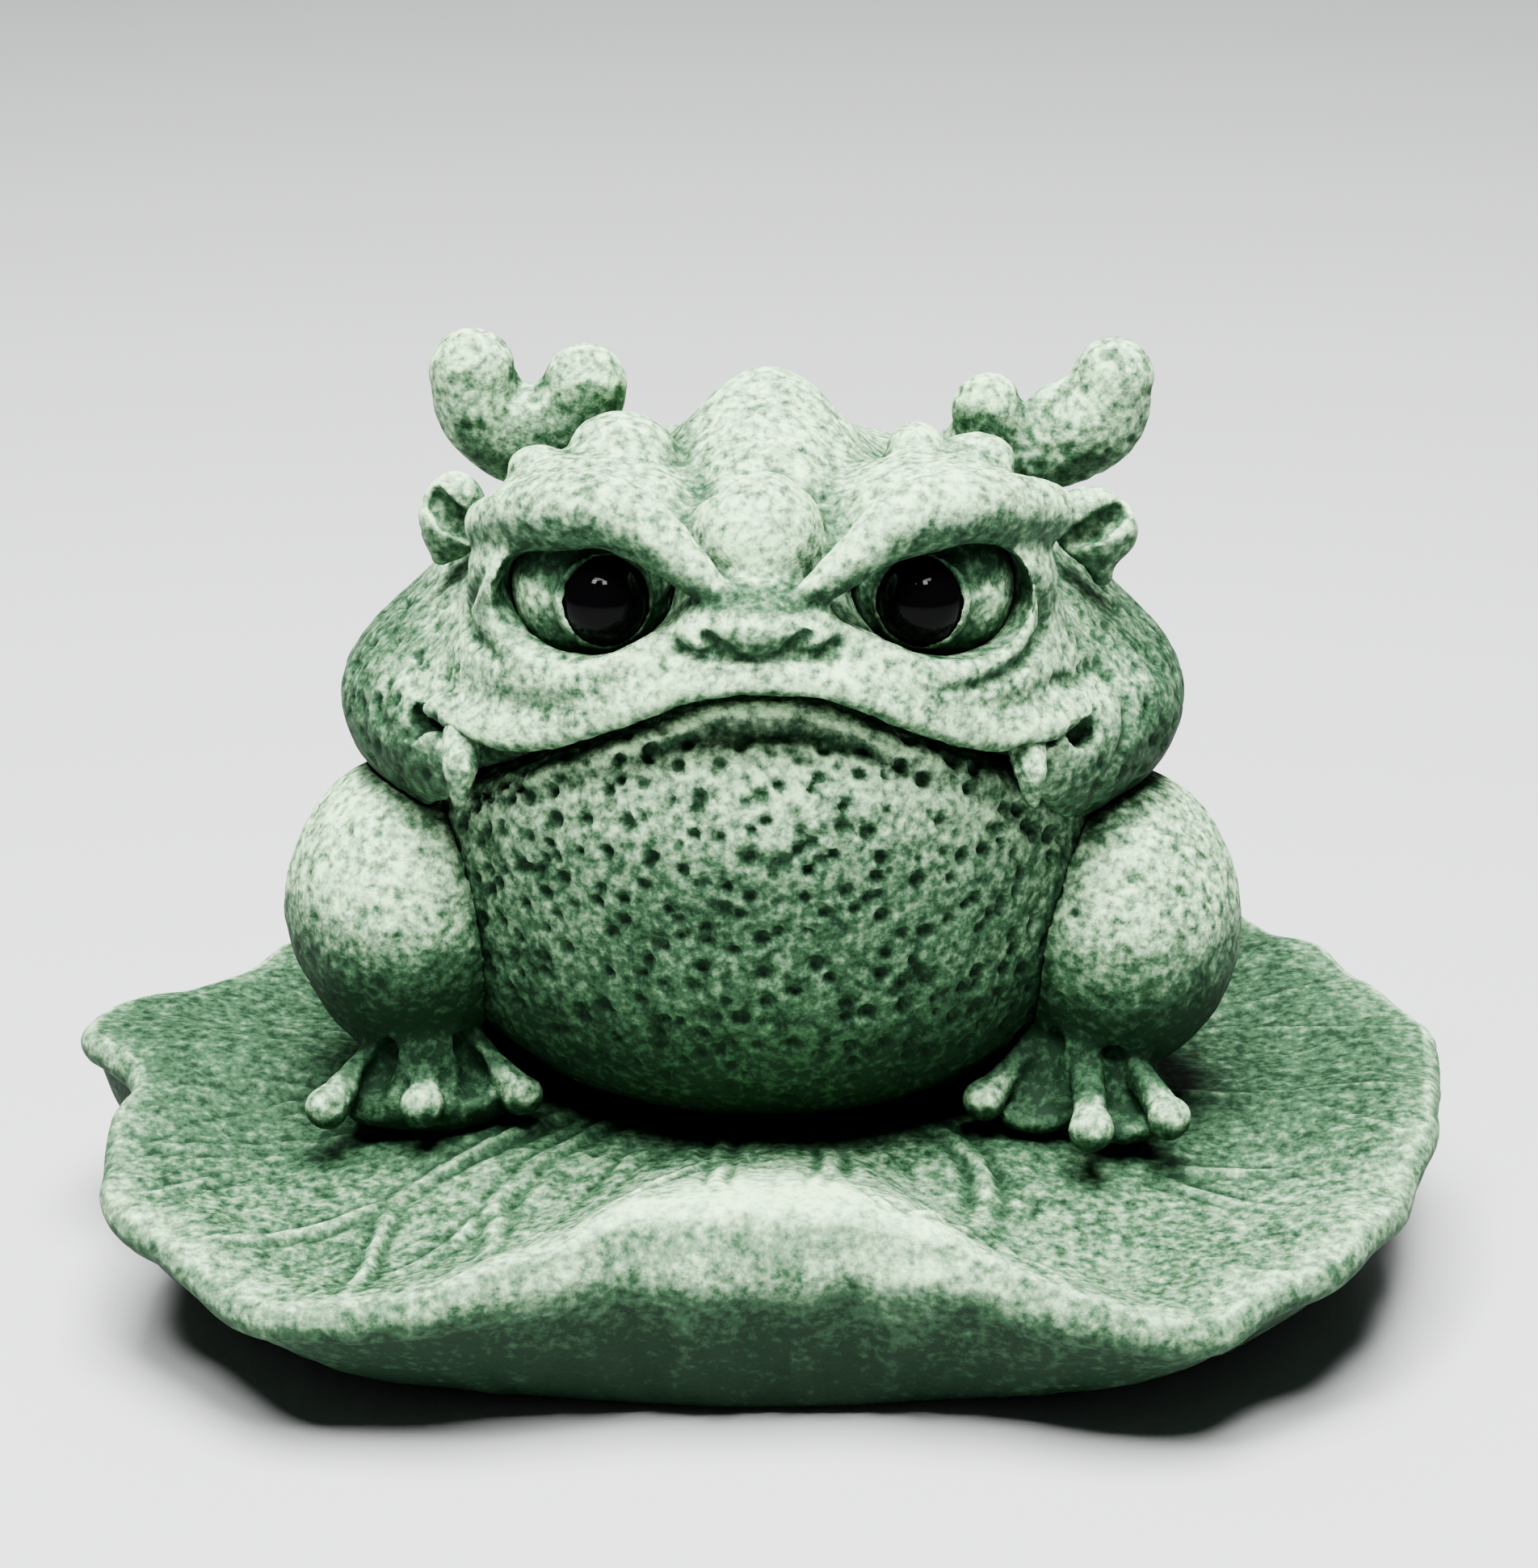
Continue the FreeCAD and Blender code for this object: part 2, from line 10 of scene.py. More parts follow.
import bpy
import numpy as np
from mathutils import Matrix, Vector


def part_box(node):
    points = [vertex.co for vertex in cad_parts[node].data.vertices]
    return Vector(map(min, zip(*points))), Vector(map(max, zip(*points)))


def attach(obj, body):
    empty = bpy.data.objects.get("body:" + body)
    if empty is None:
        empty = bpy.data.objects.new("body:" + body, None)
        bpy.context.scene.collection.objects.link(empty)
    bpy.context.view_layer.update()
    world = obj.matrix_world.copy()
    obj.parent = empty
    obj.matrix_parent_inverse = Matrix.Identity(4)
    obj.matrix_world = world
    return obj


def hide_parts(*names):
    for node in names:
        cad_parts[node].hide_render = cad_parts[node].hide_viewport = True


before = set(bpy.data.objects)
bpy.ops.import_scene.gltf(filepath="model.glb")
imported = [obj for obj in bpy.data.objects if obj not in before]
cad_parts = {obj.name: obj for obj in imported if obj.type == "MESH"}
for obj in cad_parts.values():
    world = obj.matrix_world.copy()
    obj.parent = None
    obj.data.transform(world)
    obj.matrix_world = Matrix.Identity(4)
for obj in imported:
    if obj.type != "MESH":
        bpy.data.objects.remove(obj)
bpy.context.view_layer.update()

import openvdb
from mathutils import Vector

BODY = "root"
MM = 0.001
DETAIL = 1.0

FAR = 40.0  # millimetres: the field's value away from everything
VIEWPOINT = np.array([0.4, -284.5, 128.5])  # millimetres: where the camera stands
AIM = (0.0004, 0, 0.0333)  # metres: what the camera looks at
REACH = 2.0  # millimetres: how far beyond a shape its distance is kept exact
BOND_GAP = 0.12  # millimetres: between bonded sections
BODY_STEP = 0.34  # millimetres between the grid's points, for the large sections
PIT_DEPTH, FINE_PIT_DEPTH = 0.62, 0.10  # millimetres
LENS = 97.4  # millimetres


# ---- shapes, in millimetres

class Shape:
    """A distance function with the box that it is worked out in."""

    def __init__(self, distance, low, high):
        self.distance = distance
        self.low = np.array(low, dtype=float)
        self.high = np.array(high, dtype=float)


def turned(axis, degrees):
    """A rotation matrix about the axis "x" or "y"."""
    c, s = math.cos(math.radians(degrees)), math.sin(math.radians(degrees))
    if axis == "x":
        return np.array([[1, 0, 0], [0, c, -s], [0, s, c]])
    return np.array([[c, 0, s], [0, 1, 0], [-s, 0, c]])


def ellipsoid(middle, radii, turn=None):
    """An ellipsoid, turned by a rotation matrix."""
    turn = np.eye(3) if turn is None else turn

    def distance(x, y, z):
        p = (x - middle[0], y - middle[1], z - middle[2])
        q = [sum(turn[j, i] * p[j] for j in range(3)) for i in range(3)]
        far = np.sqrt(sum((a / r) ** 2 for a, r in zip(q, radii)))
        steep = np.sqrt(sum((a / r**2) ** 2 for a, r in zip(q, radii)))
        return far * (far - 1.0) / np.maximum(steep, 1e-6)

    half = np.abs(turn) @ np.array(radii, dtype=float)
    middle = np.array(middle, dtype=float)
    return Shape(distance, middle - half, middle + half)


def chain(points, radii):
    """A rod through the points, whose radius changes along the way."""
    points = np.array(points, dtype=float)
    radii = np.broadcast_to(np.array(radii, dtype=float), (len(points),))

    def distance(x, y, z):
        found = np.inf
        for a, b, ra, rb in zip(points[:-1], points[1:], radii[:-1], radii[1:]):
            along = b - a
            p = (x - a[0], y - a[1], z - a[2])
            t = np.clip(sum(q * step for q, step in zip(p, along)) / (along @ along), 0.0, 1.0)
            gap = np.sqrt(sum((q - t * step) ** 2 for q, step in zip(p, along)))
            found = np.minimum(found, gap - (ra + t * (rb - ra)))
        return found

    widest = radii.max()
    return Shape(distance, points.min(axis=0) - widest, points.max(axis=0) + widest)


def flowing(points, per_span=5):
    """The points of a smooth curve that passes through the given ones."""
    p = np.array(points, dtype=float)
    p = np.vstack([2 * p[0] - p[1], p, 2 * p[-1] - p[-2]])
    out = []
    for a, b, c, d in zip(p, p[1:], p[2:], p[3:]):
        for t in np.arange(per_span) / per_span:
            bends = (2 * a - 5 * b + 4 * c - d) * t**2
            out.append(0.5 * (2 * b + (c - a) * t + bends + (3 * b - a - 3 * c + d) * t**3))
    return np.array([*out, p[-2]])


def flowing_chain(points, radii, per_span=5):
    """A smooth rod through the points."""
    path = flowing(points, per_span)
    spots = np.linspace(0, 1, len(path))
    return chain(path, np.interp(spots, np.linspace(0, 1, len(radii)), radii))


# ---- fields

def smooth_min(a, b, blend):
    """The lower of two distances, rounded over a width where they meet."""
    if blend <= 0:
        return np.minimum(a, b)
    h = np.maximum(blend - np.abs(a - b), 0.0) / blend
    return np.minimum(a, b) - h * h * blend * 0.25


def between_corners(cell, t, value_at):
    """The values at the corners of each point's cell, blended by how far across it the point lies."""
    found = 0.0
    for corner in range(8):
        step = np.array([corner & 1, corner >> 1 & 1, corner >> 2 & 1])
        weight = np.prod(np.where(step, t, 1 - t), axis=-1)
        found = found + weight * value_at(*np.moveaxis(cell + step, -1, 0))
    return found


def outward(points, quads):
    """The faces of a closed surface, all turned to look outwards."""
    a, b, c = points[quads[:, 0]], points[quads[:, 1]], points[quads[:, 2]]
    return quads[:, ::-1] if np.einsum("ij,ij->i", a, np.cross(b, c)).sum() < 0 else quads


def main_part(points, quads):
    """The largest connected part of a mesh, without the crumbs that a cut can leave."""
    label = np.arange(len(points))
    ends, others = quads.ravel(), np.roll(quads, -1, axis=1).ravel()
    while True:
        lowest = np.minimum(label[ends], label[others])
        found = label.copy()
        np.minimum.at(found, ends, lowest)
        np.minimum.at(found, others, lowest)
        found = found[found]
        if np.array_equal(found, label):
            break
        label = found
    kept = label == np.bincount(label).argmax()
    place = np.cumsum(kept) - 1
    return points[kept], place[quads[kept[quads[:, 0]]]]


def skin(rings, start, end):
    """Points and four-sided faces over a stack of rings, closed by a point at either end."""
    around = len(rings[0])
    last = (len(rings) - 1) * around
    low = np.arange(around)
    after = np.roll(low, -1)
    quads = [
        np.stack([low + r, low + r + around, after + r + around, after + r], axis=1)
        for r in range(0, last, around)
    ]
    points = np.vstack([*rings, start, end])
    first = np.arange(0, around, 2)
    second, third = (first + 1) % around, (first + 2) % around
    hub = np.full(len(first), len(points) - 2)
    quads.append(np.stack([hub, first, second, third], axis=1))
    quads.append(np.stack([hub + 1, last + third, last + second, last + first], axis=1))
    return points, outward(points, np.concatenate(quads))


class Field:
    """A distance on a regular grid of points: below zero is stone."""

    def __init__(self, low, high, step):
        self.low = np.array(low, dtype=float)
        self.step = step * DETAIL
        counts = np.ceil((np.array(high) - self.low) / self.step).astype(int) + 1
        self.axes = [(self.low[i] + self.step * np.arange(counts[i])).astype(np.float32) for i in range(3)]
        self.values = np.full(counts, FAR, dtype=np.float32)

    def points(self, cuts=(slice(None),) * 3):
        """Coordinates of the grid's points, as three arrays that broadcast together."""
        x, y, z = (axis[cut] for axis, cut in zip(self.axes, cuts))
        return x[:, None, None], y[None, :, None], z[None, None, :]

    def around(self, low, high):
        """The part of the grid between two corners."""
        return tuple(slice(*np.searchsorted(axis, ends)) for axis, *ends in zip(self.axes, low, high))

    def add(self, shape, blend=0.0, sign=1):
        """Joins a shape to the stone, or takes it out with the sign -1."""
        reach = blend + REACH
        cuts = self.around(shape.low - reach, shape.high + reach)
        if min(cut.stop - cut.start for cut in cuts) > 0:
            there = shape.distance(*self.points(cuts))
            self.values[cuts] = sign * smooth_min(sign * self.values[cuts], there, blend)

    def cut(self, shape, blend=0.0):
        self.add(shape, blend, -1)

    def sample(self, points):
        """The field at points, FAR away from its grid."""
        spot = (points - self.low) / self.step
        limit = np.array(self.values.shape) - 1.001
        inside = np.all((spot >= 0) & (spot <= limit), axis=-1)
        spot = np.clip(spot, 0, limit)
        cell = spot.astype(int)
        return np.where(inside, between_corners(cell, spot - cell, lambda *at: self.values[at]), FAR)

    def keep(self, floor):
        """Raises the field to a distance wherever that one is greater."""
        self.values = np.maximum(self.values, floor).astype(np.float32)

    def leave_room(self, other):
        """Takes another field's stone out of this one, with the bond's gap all round."""
        low = np.maximum(self.low, other.low)
        high = np.minimum([axis[-1] for axis in self.axes], [axis[-1] for axis in other.axes])
        if np.any(high <= low):
            return
        cuts = self.around(low, high)
        x, y, z = self.points(cuts)
        grid = np.stack(np.broadcast_arrays(x, y, z), axis=-1)
        self.values[cuts] = np.maximum(self.values[cuts], BOND_GAP - other.sample(grid))

    def first_hit(self, start, towards):
        """The first point of stone from a start along a unit vector, or None."""
        line = np.array(start) + np.arange(0, 90, 0.15)[:, None] * np.array(towards)
        inside = np.nonzero(self.sample(line) < 0)[0]
        return line[inside[0]] if len(inside) else None

    def facing(self, points, depth=0.0):
        """The points moved along the camera's lines of sight to the surface, then a depth into the stone."""
        found = []
        for point in np.atleast_2d(np.array(points, dtype=float)):
            along = (point - VIEWPOINT) / np.linalg.norm(point - VIEWPOINT)
            hit = self.first_hit(point - along * 14.0, along)
            found.append((point if hit is None else hit) + along * depth)
        return np.array(found)

    def on_face(self, x, z, depth=0.0):
        """The point of the surface at x and z, seen from straight in front, then a depth into the stone."""
        hit = self.first_hit((x, self.low[1] + 0.5, z), (0, 1, 0))
        return np.array([x, (hit[1] if hit is not None else 0.0) + depth, z])

    def mesh(self):
        """Points and four-sided faces of the surface, with the faces turned outwards."""
        grid = openvdb.FloatGrid(FAR)
        grid.copyFromArray(np.clip(self.values, -3 * self.step, 3 * self.step))
        points, quads = grid.convertToQuads(0.0)
        points, quads = main_part(self.low + points.astype(float) * self.step, quads.astype(int))
        return points, outward(points, quads)


# ---- numbers scattered in space

def scatter(i, j, k, seed):
    """A fixed number between 0 and 1 for every cell of space."""
    i, j, k = (v.astype(np.uint32) for v in (i, j, k))
    h = i * np.uint32(374761393) + j * np.uint32(668265263) + k * np.uint32(2147483647)
    h = (h + np.uint32(seed * 974711)) * np.uint32(1274126177)
    h = (h ^ (h >> np.uint32(13))) * np.uint32(1103515245)
    h = h ^ (h >> np.uint32(16))
    return (h & np.uint32(0xFFFFFF)).astype(float) / 0xFFFFFF


def noise(points, size, seed):
    """Smooth noise between -1 and 1, with lumps about as large as size."""
    spot = points / size
    cell = np.floor(spot).astype(int)
    t = spot - cell
    return 2 * between_corners(cell, t * t * (3 - 2 * t), lambda *at: scatter(*at, seed)) - 1


def pits(points, spacing, radius, seed, share=1.0):
    """How deep each point lies in a scatter of round pits: 0 outside them, 1 in their middles."""
    cell = np.floor(points / spacing).astype(int)
    deepest = np.zeros(len(points))
    for corner in range(27):
        step = np.array([corner % 3 - 1, corner // 3 % 3 - 1, corner // 9 - 1])
        there = cell + step
        middle = np.stack([scatter(*there.T, seed + n) for n in range(3)], axis=1)
        kept = scatter(*there.T, seed + 3) < share
        size = radius * (0.75 + 0.5 * scatter(*there.T, seed + 4))
        gap = np.linalg.norm((there + middle) * spacing - points, axis=1) / size
        deepest = np.maximum(deepest, np.where(kept, np.clip(1.4 * (1.2 - gap), 0, 1), 0))
    return deepest * deepest * (3 - 2 * deepest)


def rise(low, high, value):
    """Rises smoothly from 0 at low to 1 at high."""
    t = np.clip((value - low) / (high - low), 0, 1)
    return t * t * (3 - 2 * t)


# ---- the leaf's form

LEAF_SEAT_Z = 13.2
LEAF_SEAT_SHARE = 0.4
FOOT_Z = 0.2
FELT_RECESS_Z = 1.0  # the ceiling of the recess that the felt is bonded into
LEAF_FOOT = (40.5, 31.0)
LEAF_FLARE = 0.62
RIM_HALF_THICKNESS = 1.25
ROLL_HALF_THICKNESS = 3.6  # what the rolled lobe at the front adds to it
LOBE_WIDTH = 22.0  # degrees
LEAF_OVERLAP = 0.5  # how far the sections on the leaf reach below its upper face

# Anticlockwise from the front: angle from +X, reach from the middle, height of the edge.
LEAF_RIM = np.array([
    (-90, 37.0, 16.1), (-80, 37.5, 15.8), (-71, 40.0, 14.7), (-64, 44.0, 12.4), (-58, 47.3, 10.7), (-46, 49.7, 11.4),
    (-32, 50.0, 12.8), (-17, 48.6, 14.4), (0, 48.4, 14.2), (16, 46.5, 14.4), (36, 45.4, 14.2), (62, 43.5, 15.3),
    (90, 42.0, 14.2), (120, 41.5, 15.5), (150, 41.2, 14.1), (166, 43.8, 14.1), (175, 48.2, 14.6), (182, 49.3, 15.6),
    (189, 45.2, 14.8), (198, 47.6, 13.7), (208, 50.1, 12.6), (220, 50.3, 11.6), (232, 48.9, 10.7), (240, 45.6, 12.0),
    (247, 42.0, 14.0), (256, 38.6, 15.5), (264, 37.2, 16.0),
])


def around_rim(angles, column):
    """A column of the rim's table at angles in degrees, smooth all the way round."""
    knots, values = LEAF_RIM[:, 0], LEAF_RIM[:, column]
    knots = np.concatenate([knots - 360, knots, knots + 360])
    values = np.tile(values, 3)
    slopes = np.gradient(values, knots)
    angles = (np.asarray(angles) + 90) % 360 - 90
    i = np.clip(np.searchsorted(knots, angles, side="right") - 1, 0, len(knots) - 2)
    j = i + 1
    width = knots[j] - knots[i]
    t = (angles - knots[i]) / width
    here = values[i] * (2 * t**3 - 3 * t**2 + 1) + slopes[i] * width * (t**3 - 2 * t**2 + t)
    return here + values[j] * (3 * t**2 - 2 * t**3) + slopes[j] * width * (t**3 - t**2)


def rim_reach(angles):
    """The rim's reach, with the small ripples of its edge."""
    turn = np.radians(np.asarray(angles))
    ripple = 0.22 * np.sin(19 * turn + 1.3) + 0.14 * np.sin(33 * turn + 0.4)
    return around_rim(angles, 1) + ripple


def rim_height(angles):
    """The rim's height, with small waves."""
    turn = np.radians(np.asarray(angles))
    return around_rim(angles, 2) + 0.22 * np.sin(17 * turn + 0.7) + 0.16 * np.sin(31 * turn + 2.1)


def leaf_plain_z(x, y):
    """Height of the leaf's upper face without its veins."""
    angles = np.degrees(np.arctan2(y, x))
    share = np.hypot(x, y) / around_rim(angles, 1)
    height = around_rim(angles, 2)
    dish = -1.1 * np.sin(np.pi * np.clip((share - 0.5) / 0.5, 0, 1)) * rise(15.6, 13.5, height)
    return LEAF_SEAT_Z + (height - LEAF_SEAT_Z) * rise(LEAF_SEAT_SHARE, 1.0, share) + dish


def foot_reach(angles):
    """Reach of the leaf's elliptical foot."""
    turn = np.radians(angles)
    return 1.0 / np.hypot(np.cos(turn) / LEAF_FOOT[0], np.sin(turn) / LEAF_FOOT[1])


# ---- the toad's forms

EYE_BOXES = {side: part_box(side + "_eye") for side in ("left", "right")}
EYES = {
    side: (np.array(low) + np.array(high)) / 2 / MM for side, (low, high) in EYE_BOXES.items()
}
EYEBALL = (11.2, -15.6, 52.3)  # the stone eyeball on the right; the left one mirrors it
EYEBALL_R = 5.3
SIDES = {"left": -1, "right": 1}
EYEBALLS = {word: np.array([side * EYEBALL[0], *EYEBALL[1:]]) for word, side in SIDES.items()}

LOWER_LIP = np.array([
    (0, 46.4), (2.9, 46.15), (4.8, 45.55), (6.8, 44.6), (8.3, 43.9), (10.5, 42.9), (12.5, 41.9), (14.5, 40.9),
    (17, 39.4), (20, 37.2), (24, 35.0), (30, 33.0),
])
UPPER_LIP = np.array([
    (0, 47.6), (3.2, 47.4), (5.2, 46.8), (6.8, 46.2), (8.3, 45.4), (10.4, 44.3), (12.4, 43.4), (14.4, 42.8),
    (16, 42.5), (18, 42.5), (20, 42.8), (22.5, 43.3),
])


def lip_z(line, x):
    """Height of a lip's edge at a distance from the middle, rounded between the table's points."""
    x = np.abs(x)
    offsets = (-1.2, -0.6, 0.0, 0.6, 1.2)
    return sum(np.interp(np.abs(x + offset), line[:, 0], line[:, 1]) for offset in offsets) / len(offsets)


def torso_distance(x, y, z):
    """The egg of the torso, under the vault of the mouth line."""
    up = z - 30.0
    y = y - (1.2 - 0.0055 * np.maximum(up + 10.0, 0.0) ** 2)
    flat = np.sqrt((x / 25.1) ** 2 + (y / 25.4) ** 2)
    tall = np.abs(up) / np.where(up > 0, 20.0, 18.0)
    f = (flat**2.6 + tall**2.6) ** (1 / 2.6)
    far = np.sqrt(x * x + y * y + up * up)
    egg = far * (1 - 1 / np.maximum(f, 1e-4))
    roof = (z - lip_z(LOWER_LIP, x)) * 0.85
    return -smooth_min(-egg, -roof, 1.2)


TORSO = Shape(torso_distance, (-26, -27, 11), (26, 28, 48))


def sculpt_torso():
    """Belly, back and lower lip."""
    field = Field((-30, -30, 10.5), (30, 31, 50), BODY_STEP)
    field.add(TORSO)
    xs = np.arange(-15.0, 15.1, 1.5)
    lip = [field.on_face(x, lip_z(LOWER_LIP, x) - 0.8, 0.3) for x in xs]
    field.add(chain(lip, 0.7), 0.7)
    xs = np.arange(-7.2, 7.3, 0.9)
    crease = [field.on_face(x, lip_z(LOWER_LIP, x) - 1.95 + 0.05 * abs(x), 0.05) for x in xs]
    field.cut(chain(crease, np.interp(np.abs(xs), [0, 4, 7.2], [0.32, 0.22, 0.02])), 0.9)
    add_back_warts(field, 2, 46, 11, 40, 4)
    return field


def add_back_warts(field, axis_y, tries, lowest, highest, seed):
    """Warts scattered over the side away from the face, none nearer another than half a millimetre."""
    rng = np.random.default_rng(seed)
    placed = []
    for _ in range(tries):
        azimuth = rng.uniform(0.06, 0.94) * math.pi
        height = rng.uniform(lowest, highest)
        out = np.array([math.cos(azimuth), math.sin(azimuth), 0.0])
        hit = field.first_hit(np.array([0, axis_y, height]) + out * 45, -out)
        radius = rng.uniform(0.7, 1.7)
        if hit is None or hit[1] < 5.0:
            continue
        if all(np.linalg.norm(hit - other) >= r + radius + 0.5 for other, r in placed):
            placed.append((hit, radius))
            field.add(ellipsoid(hit, (radius, radius, radius * 0.95)), 0.8)


# Middle, radii and blend: the skull, the face and the crest.
SKULL = [
    ((0, -2, 41), (29.3, 23, 12.2), 0), ((0, -0.5, 47), (21.8, 19.0, 12.2), 5.0),
    ((0, -14.2, 47.6), (19.5, 11.4, 6.0), 4.0), ((0.3, -4.6, 57.0), (7.6, 7.4, 4.2), 2.2),
]
# The same for the flesh behind the brows and the lobes in front of the horns.
FOREHEAD = [
    ((-11.2, -12.4, 56.8), (6.6, 6.0, 3.4), 2.0), ((11.2, -12.4, 56.8), (6.6, 6.0, 3.4), 2.0),
    ((-9.5, -8.2, 59.4), (3.7, 4.0, 2.7), 1.0), ((-14.9, -9.6, 58.6), (2.1, 2.6, 1.7), 0.7),
    ((10.3, -8.4, 59.4), (2.0, 2.6, 2.0), 0.8), ((14.2, -8.6, 58.9), (2.7, 2.6, 1.9), 0.9),
]


def head_shapes(field):
    """The large masses of the head."""
    for middle, radii, blend in SKULL:
        field.add(ellipsoid(middle, radii), blend)
    # The crest's ridge and the forehead's knob with the chevron over it.
    field.add(chain([(0.3, -3.6, 57.0), (0.3, -3.1, 60.7)], (6.1, 2.5)), 2.0)
    field.add(chain([(0.3, -4.0, 59.0), (0.2, -12.0, 55.6)], (4.6, 4.6)), 3.0)
    field.add(ellipsoid((NOSE_X, -17.4, 55.6), (4.5, 4.5, 4.9)), 1.6)
    chevron = [(-4.9, -15, 57.4), (-2.8, -14, 58.8), (0.5, -13, 59.6), (2.4, -14, 58.8), (4.2, -15, 57.4)]
    field.cut(flowing_chain(field.facing(chevron), (0.2, 0.5, 0.55, 0.5, 0.2), 3), 0.8)
    for middle, radii, blend in FOREHEAD:
        field.add(ellipsoid(middle, radii), blend)


def mirrored(points, side):
    """Points of the right side, moved to the side asked for."""
    return [(p[0] * side,) + tuple(p[1:]) for p in points]


LIDS = {
    "left": [
        (-17.3, -14.8, 54.2), (-17.8, -15.8, 51.8), (-17.0, -17.5, 50.1), (-15.2, -19.5, 48.9), (-12.8, -21.0, 48.4),
        (-9.7, -22.0, 48.5), (-6.9, -22.7, 49.9), (-4.9, -23.2, 51.4), (-3.4, -23.4, 52.6),
    ],
    "right": [
        (16.9, -14.8, 54.2), (17.5, -15.8, 51.2), (16.5, -17.5, 49.1), (14.1, -19.8, 48.1), (10.9, -21.5, 48.3),
        (7.8, -22.5, 49.7), (5.4, -23.1, 51.2), (3.8, -23.4, 52.5),
    ],
}
FOLDS = {
    "left": [(-18.5, -14.5, 52.9), (-19.3, -14, 51.3), (-19.6, -15, 49.8), (-18.6, -16.5, 48.6), (-17.2, -18, 47.9)],
    "right": [(18.2, -14, 52.4), (18.7, -15, 49.6), (17.4, -17, 47.7), (14.7, -19.5, 46.8), (11.8, -21, 46.7)],
}
BROWS = {
    "left": (
        [(-17.8, -14.2, 56.2), (-15.7, -16.8, 57.4), (-13.2, -18.9, 58.2), (-10.4, -20.4, 58.7), (-8.5, -21.4, 58.2),
         (-6.6, -22.2, 57.1), (-4.7, -22.9, 55.5), (-3.2, -23.2, 54.1)],
        (1.9, 2.3, 2.5, 2.5, 2.3, 1.9, 1.5, 1.0),
    ),
    "right": (
        [(18.5, -13.8, 56.8), (16.4, -16.4, 57.7), (13.4, -18.9, 58.6), (10.6, -20.4, 58.4), (8.4, -21.4, 57.7),
         (6.8, -22.2, 56.7), (4.9, -22.9, 55.3), (3.3, -23.2, 54.1)],
        (2.0, 2.3, 2.5, 2.5, 2.2, 1.8, 1.4, 1.0),
    ),
}


def eye_area(field, word):
    """Socket, brow, lower lid and the folds round one eye."""
    side = SIDES[word]
    field.add(ellipsoid((side * 11.4, -14.4, 52.6), (8.0, 7.4, 5.8)), 2.5)
    field.cut(ellipsoid((side * 11.4, -19.4, 53.0), (6.2, 5.4, 4.5), turned("y", side * 12.0)), 0.6)
    inner = [(side * 8.4, -21.0, 53.0), (side * 5.6, -22.2, 52.9), (side * 3.4, -23.6, 53.0)]
    field.cut(chain(inner, (2.4, 1.3, 0.4)), 0.5)
    field.cut(ellipsoid(EYEBALLS[word], (EYEBALL_R + 0.3,) * 3), 0.3)
    field.add(flowing_chain(LIDS[word], (0.8, 0.95, 1.0, 0.95, 0.85, 0.8, 0.75, 0.6, 0.4)), 0.7)
    fold = field.facing(flowing(FOLDS[word], 3))
    widths = np.interp(np.linspace(0, 1, len(fold)), [0, 0.25, 0.7, 1], [0.2, 0.52, 0.48, 0.1])
    field.cut(chain(fold, widths), 0.5)
    field.add(flowing_chain(*BROWS[word]), 0.9)


NOSE_X = -0.4  # the nose and the forehead's knob sit a little to the left


def nose_area(field):
    """Nose, the creases above and below it, and the nostrils."""
    above = [(-4.0, -23, 53.3), (-2.2, -23, 53.8), (-0.6, -23, 54.0), (1.4, -23, 53.8), (3.2, -23, 53.2)]
    field.cut(flowing_chain(field.facing(above), (0.45, 0.7, 0.75, 0.7, 0.45)), 0.6)
    field.add(ellipsoid((NOSE_X, -22.0, 51.9), (4.7, 3.4, 2.5)), 1.4)
    field.add(ellipsoid((NOSE_X, -23.4, 51.8), (2.6, 2.7, 1.9)), 0.8)
    for side in (-1, 1):
        field.add(ellipsoid((NOSE_X + side * 3.3, -23.4, 51.2), (1.6, 1.9, 1.2)), 1.1)
        nostril = [(NOSE_X + side * 3.1, -25.5, 51.6), (NOSE_X + side * 2.3, -26.0, 51.0)]
        nostril = field.facing(nostril, 0.25)
        field.cut(chain(nostril, (0.5, 0.6)), 0.4)
    below = [(-5.4, -25, 50.9), (-3.4, -25.5, 50.3), (0.0, -26, 50.2), (3.2, -25.5, 50.4), (4.8, -25, 51.1)]
    field.cut(flowing_chain(field.facing(below), (0.15, 0.35, 0.35, 0.35, 0.15)), 0.7)


JOWL_EDGE = {-1: 18.6, 1: 16.1}  # where the slit of the mouth ends above the jowls
JOWL_RECESSES = [(-19.6, -20.4, 39.9), (17.3, -21.3, 40.2)]  # the hollows behind the fangs
MOUTH_CORNERS = {-1: (-22.5, -15.5, 42.9), 1: (21.0, -16.5, 42.5)}
CHEEK_FOLDS = [
    ([(-24.4, -12, 45.6), (-25.6, -12, 43.2), (-25.4, -12, 40.8)], (0.1, 0.3, 0.1)),
    ([(-20.6, -15, 45.4), (-22.2, -15, 44.9), (-23.4, -15, 45.5)], (0.1, 0.35, 0.1)),
    ([(22.6, -14, 45.6), (24.4, -13, 43.6), (24.6, -12, 40.8), (23.4, -13, 38.6)], (0.1, 0.4, 0.4, 0.1)),
    ([(19.4, -17, 46.2), (20.8, -16, 45.9), (22.0, -15, 46.4)], (0.1, 0.25, 0.1)),
]


def jowl_edge(x, z):
    """How far from the middle the jowls begin, farther out the lower."""
    return np.where(x < 0, JOWL_EDGE[-1], JOWL_EDGE[1]) + 0.6 * np.maximum(41.5 - z, 0.0)


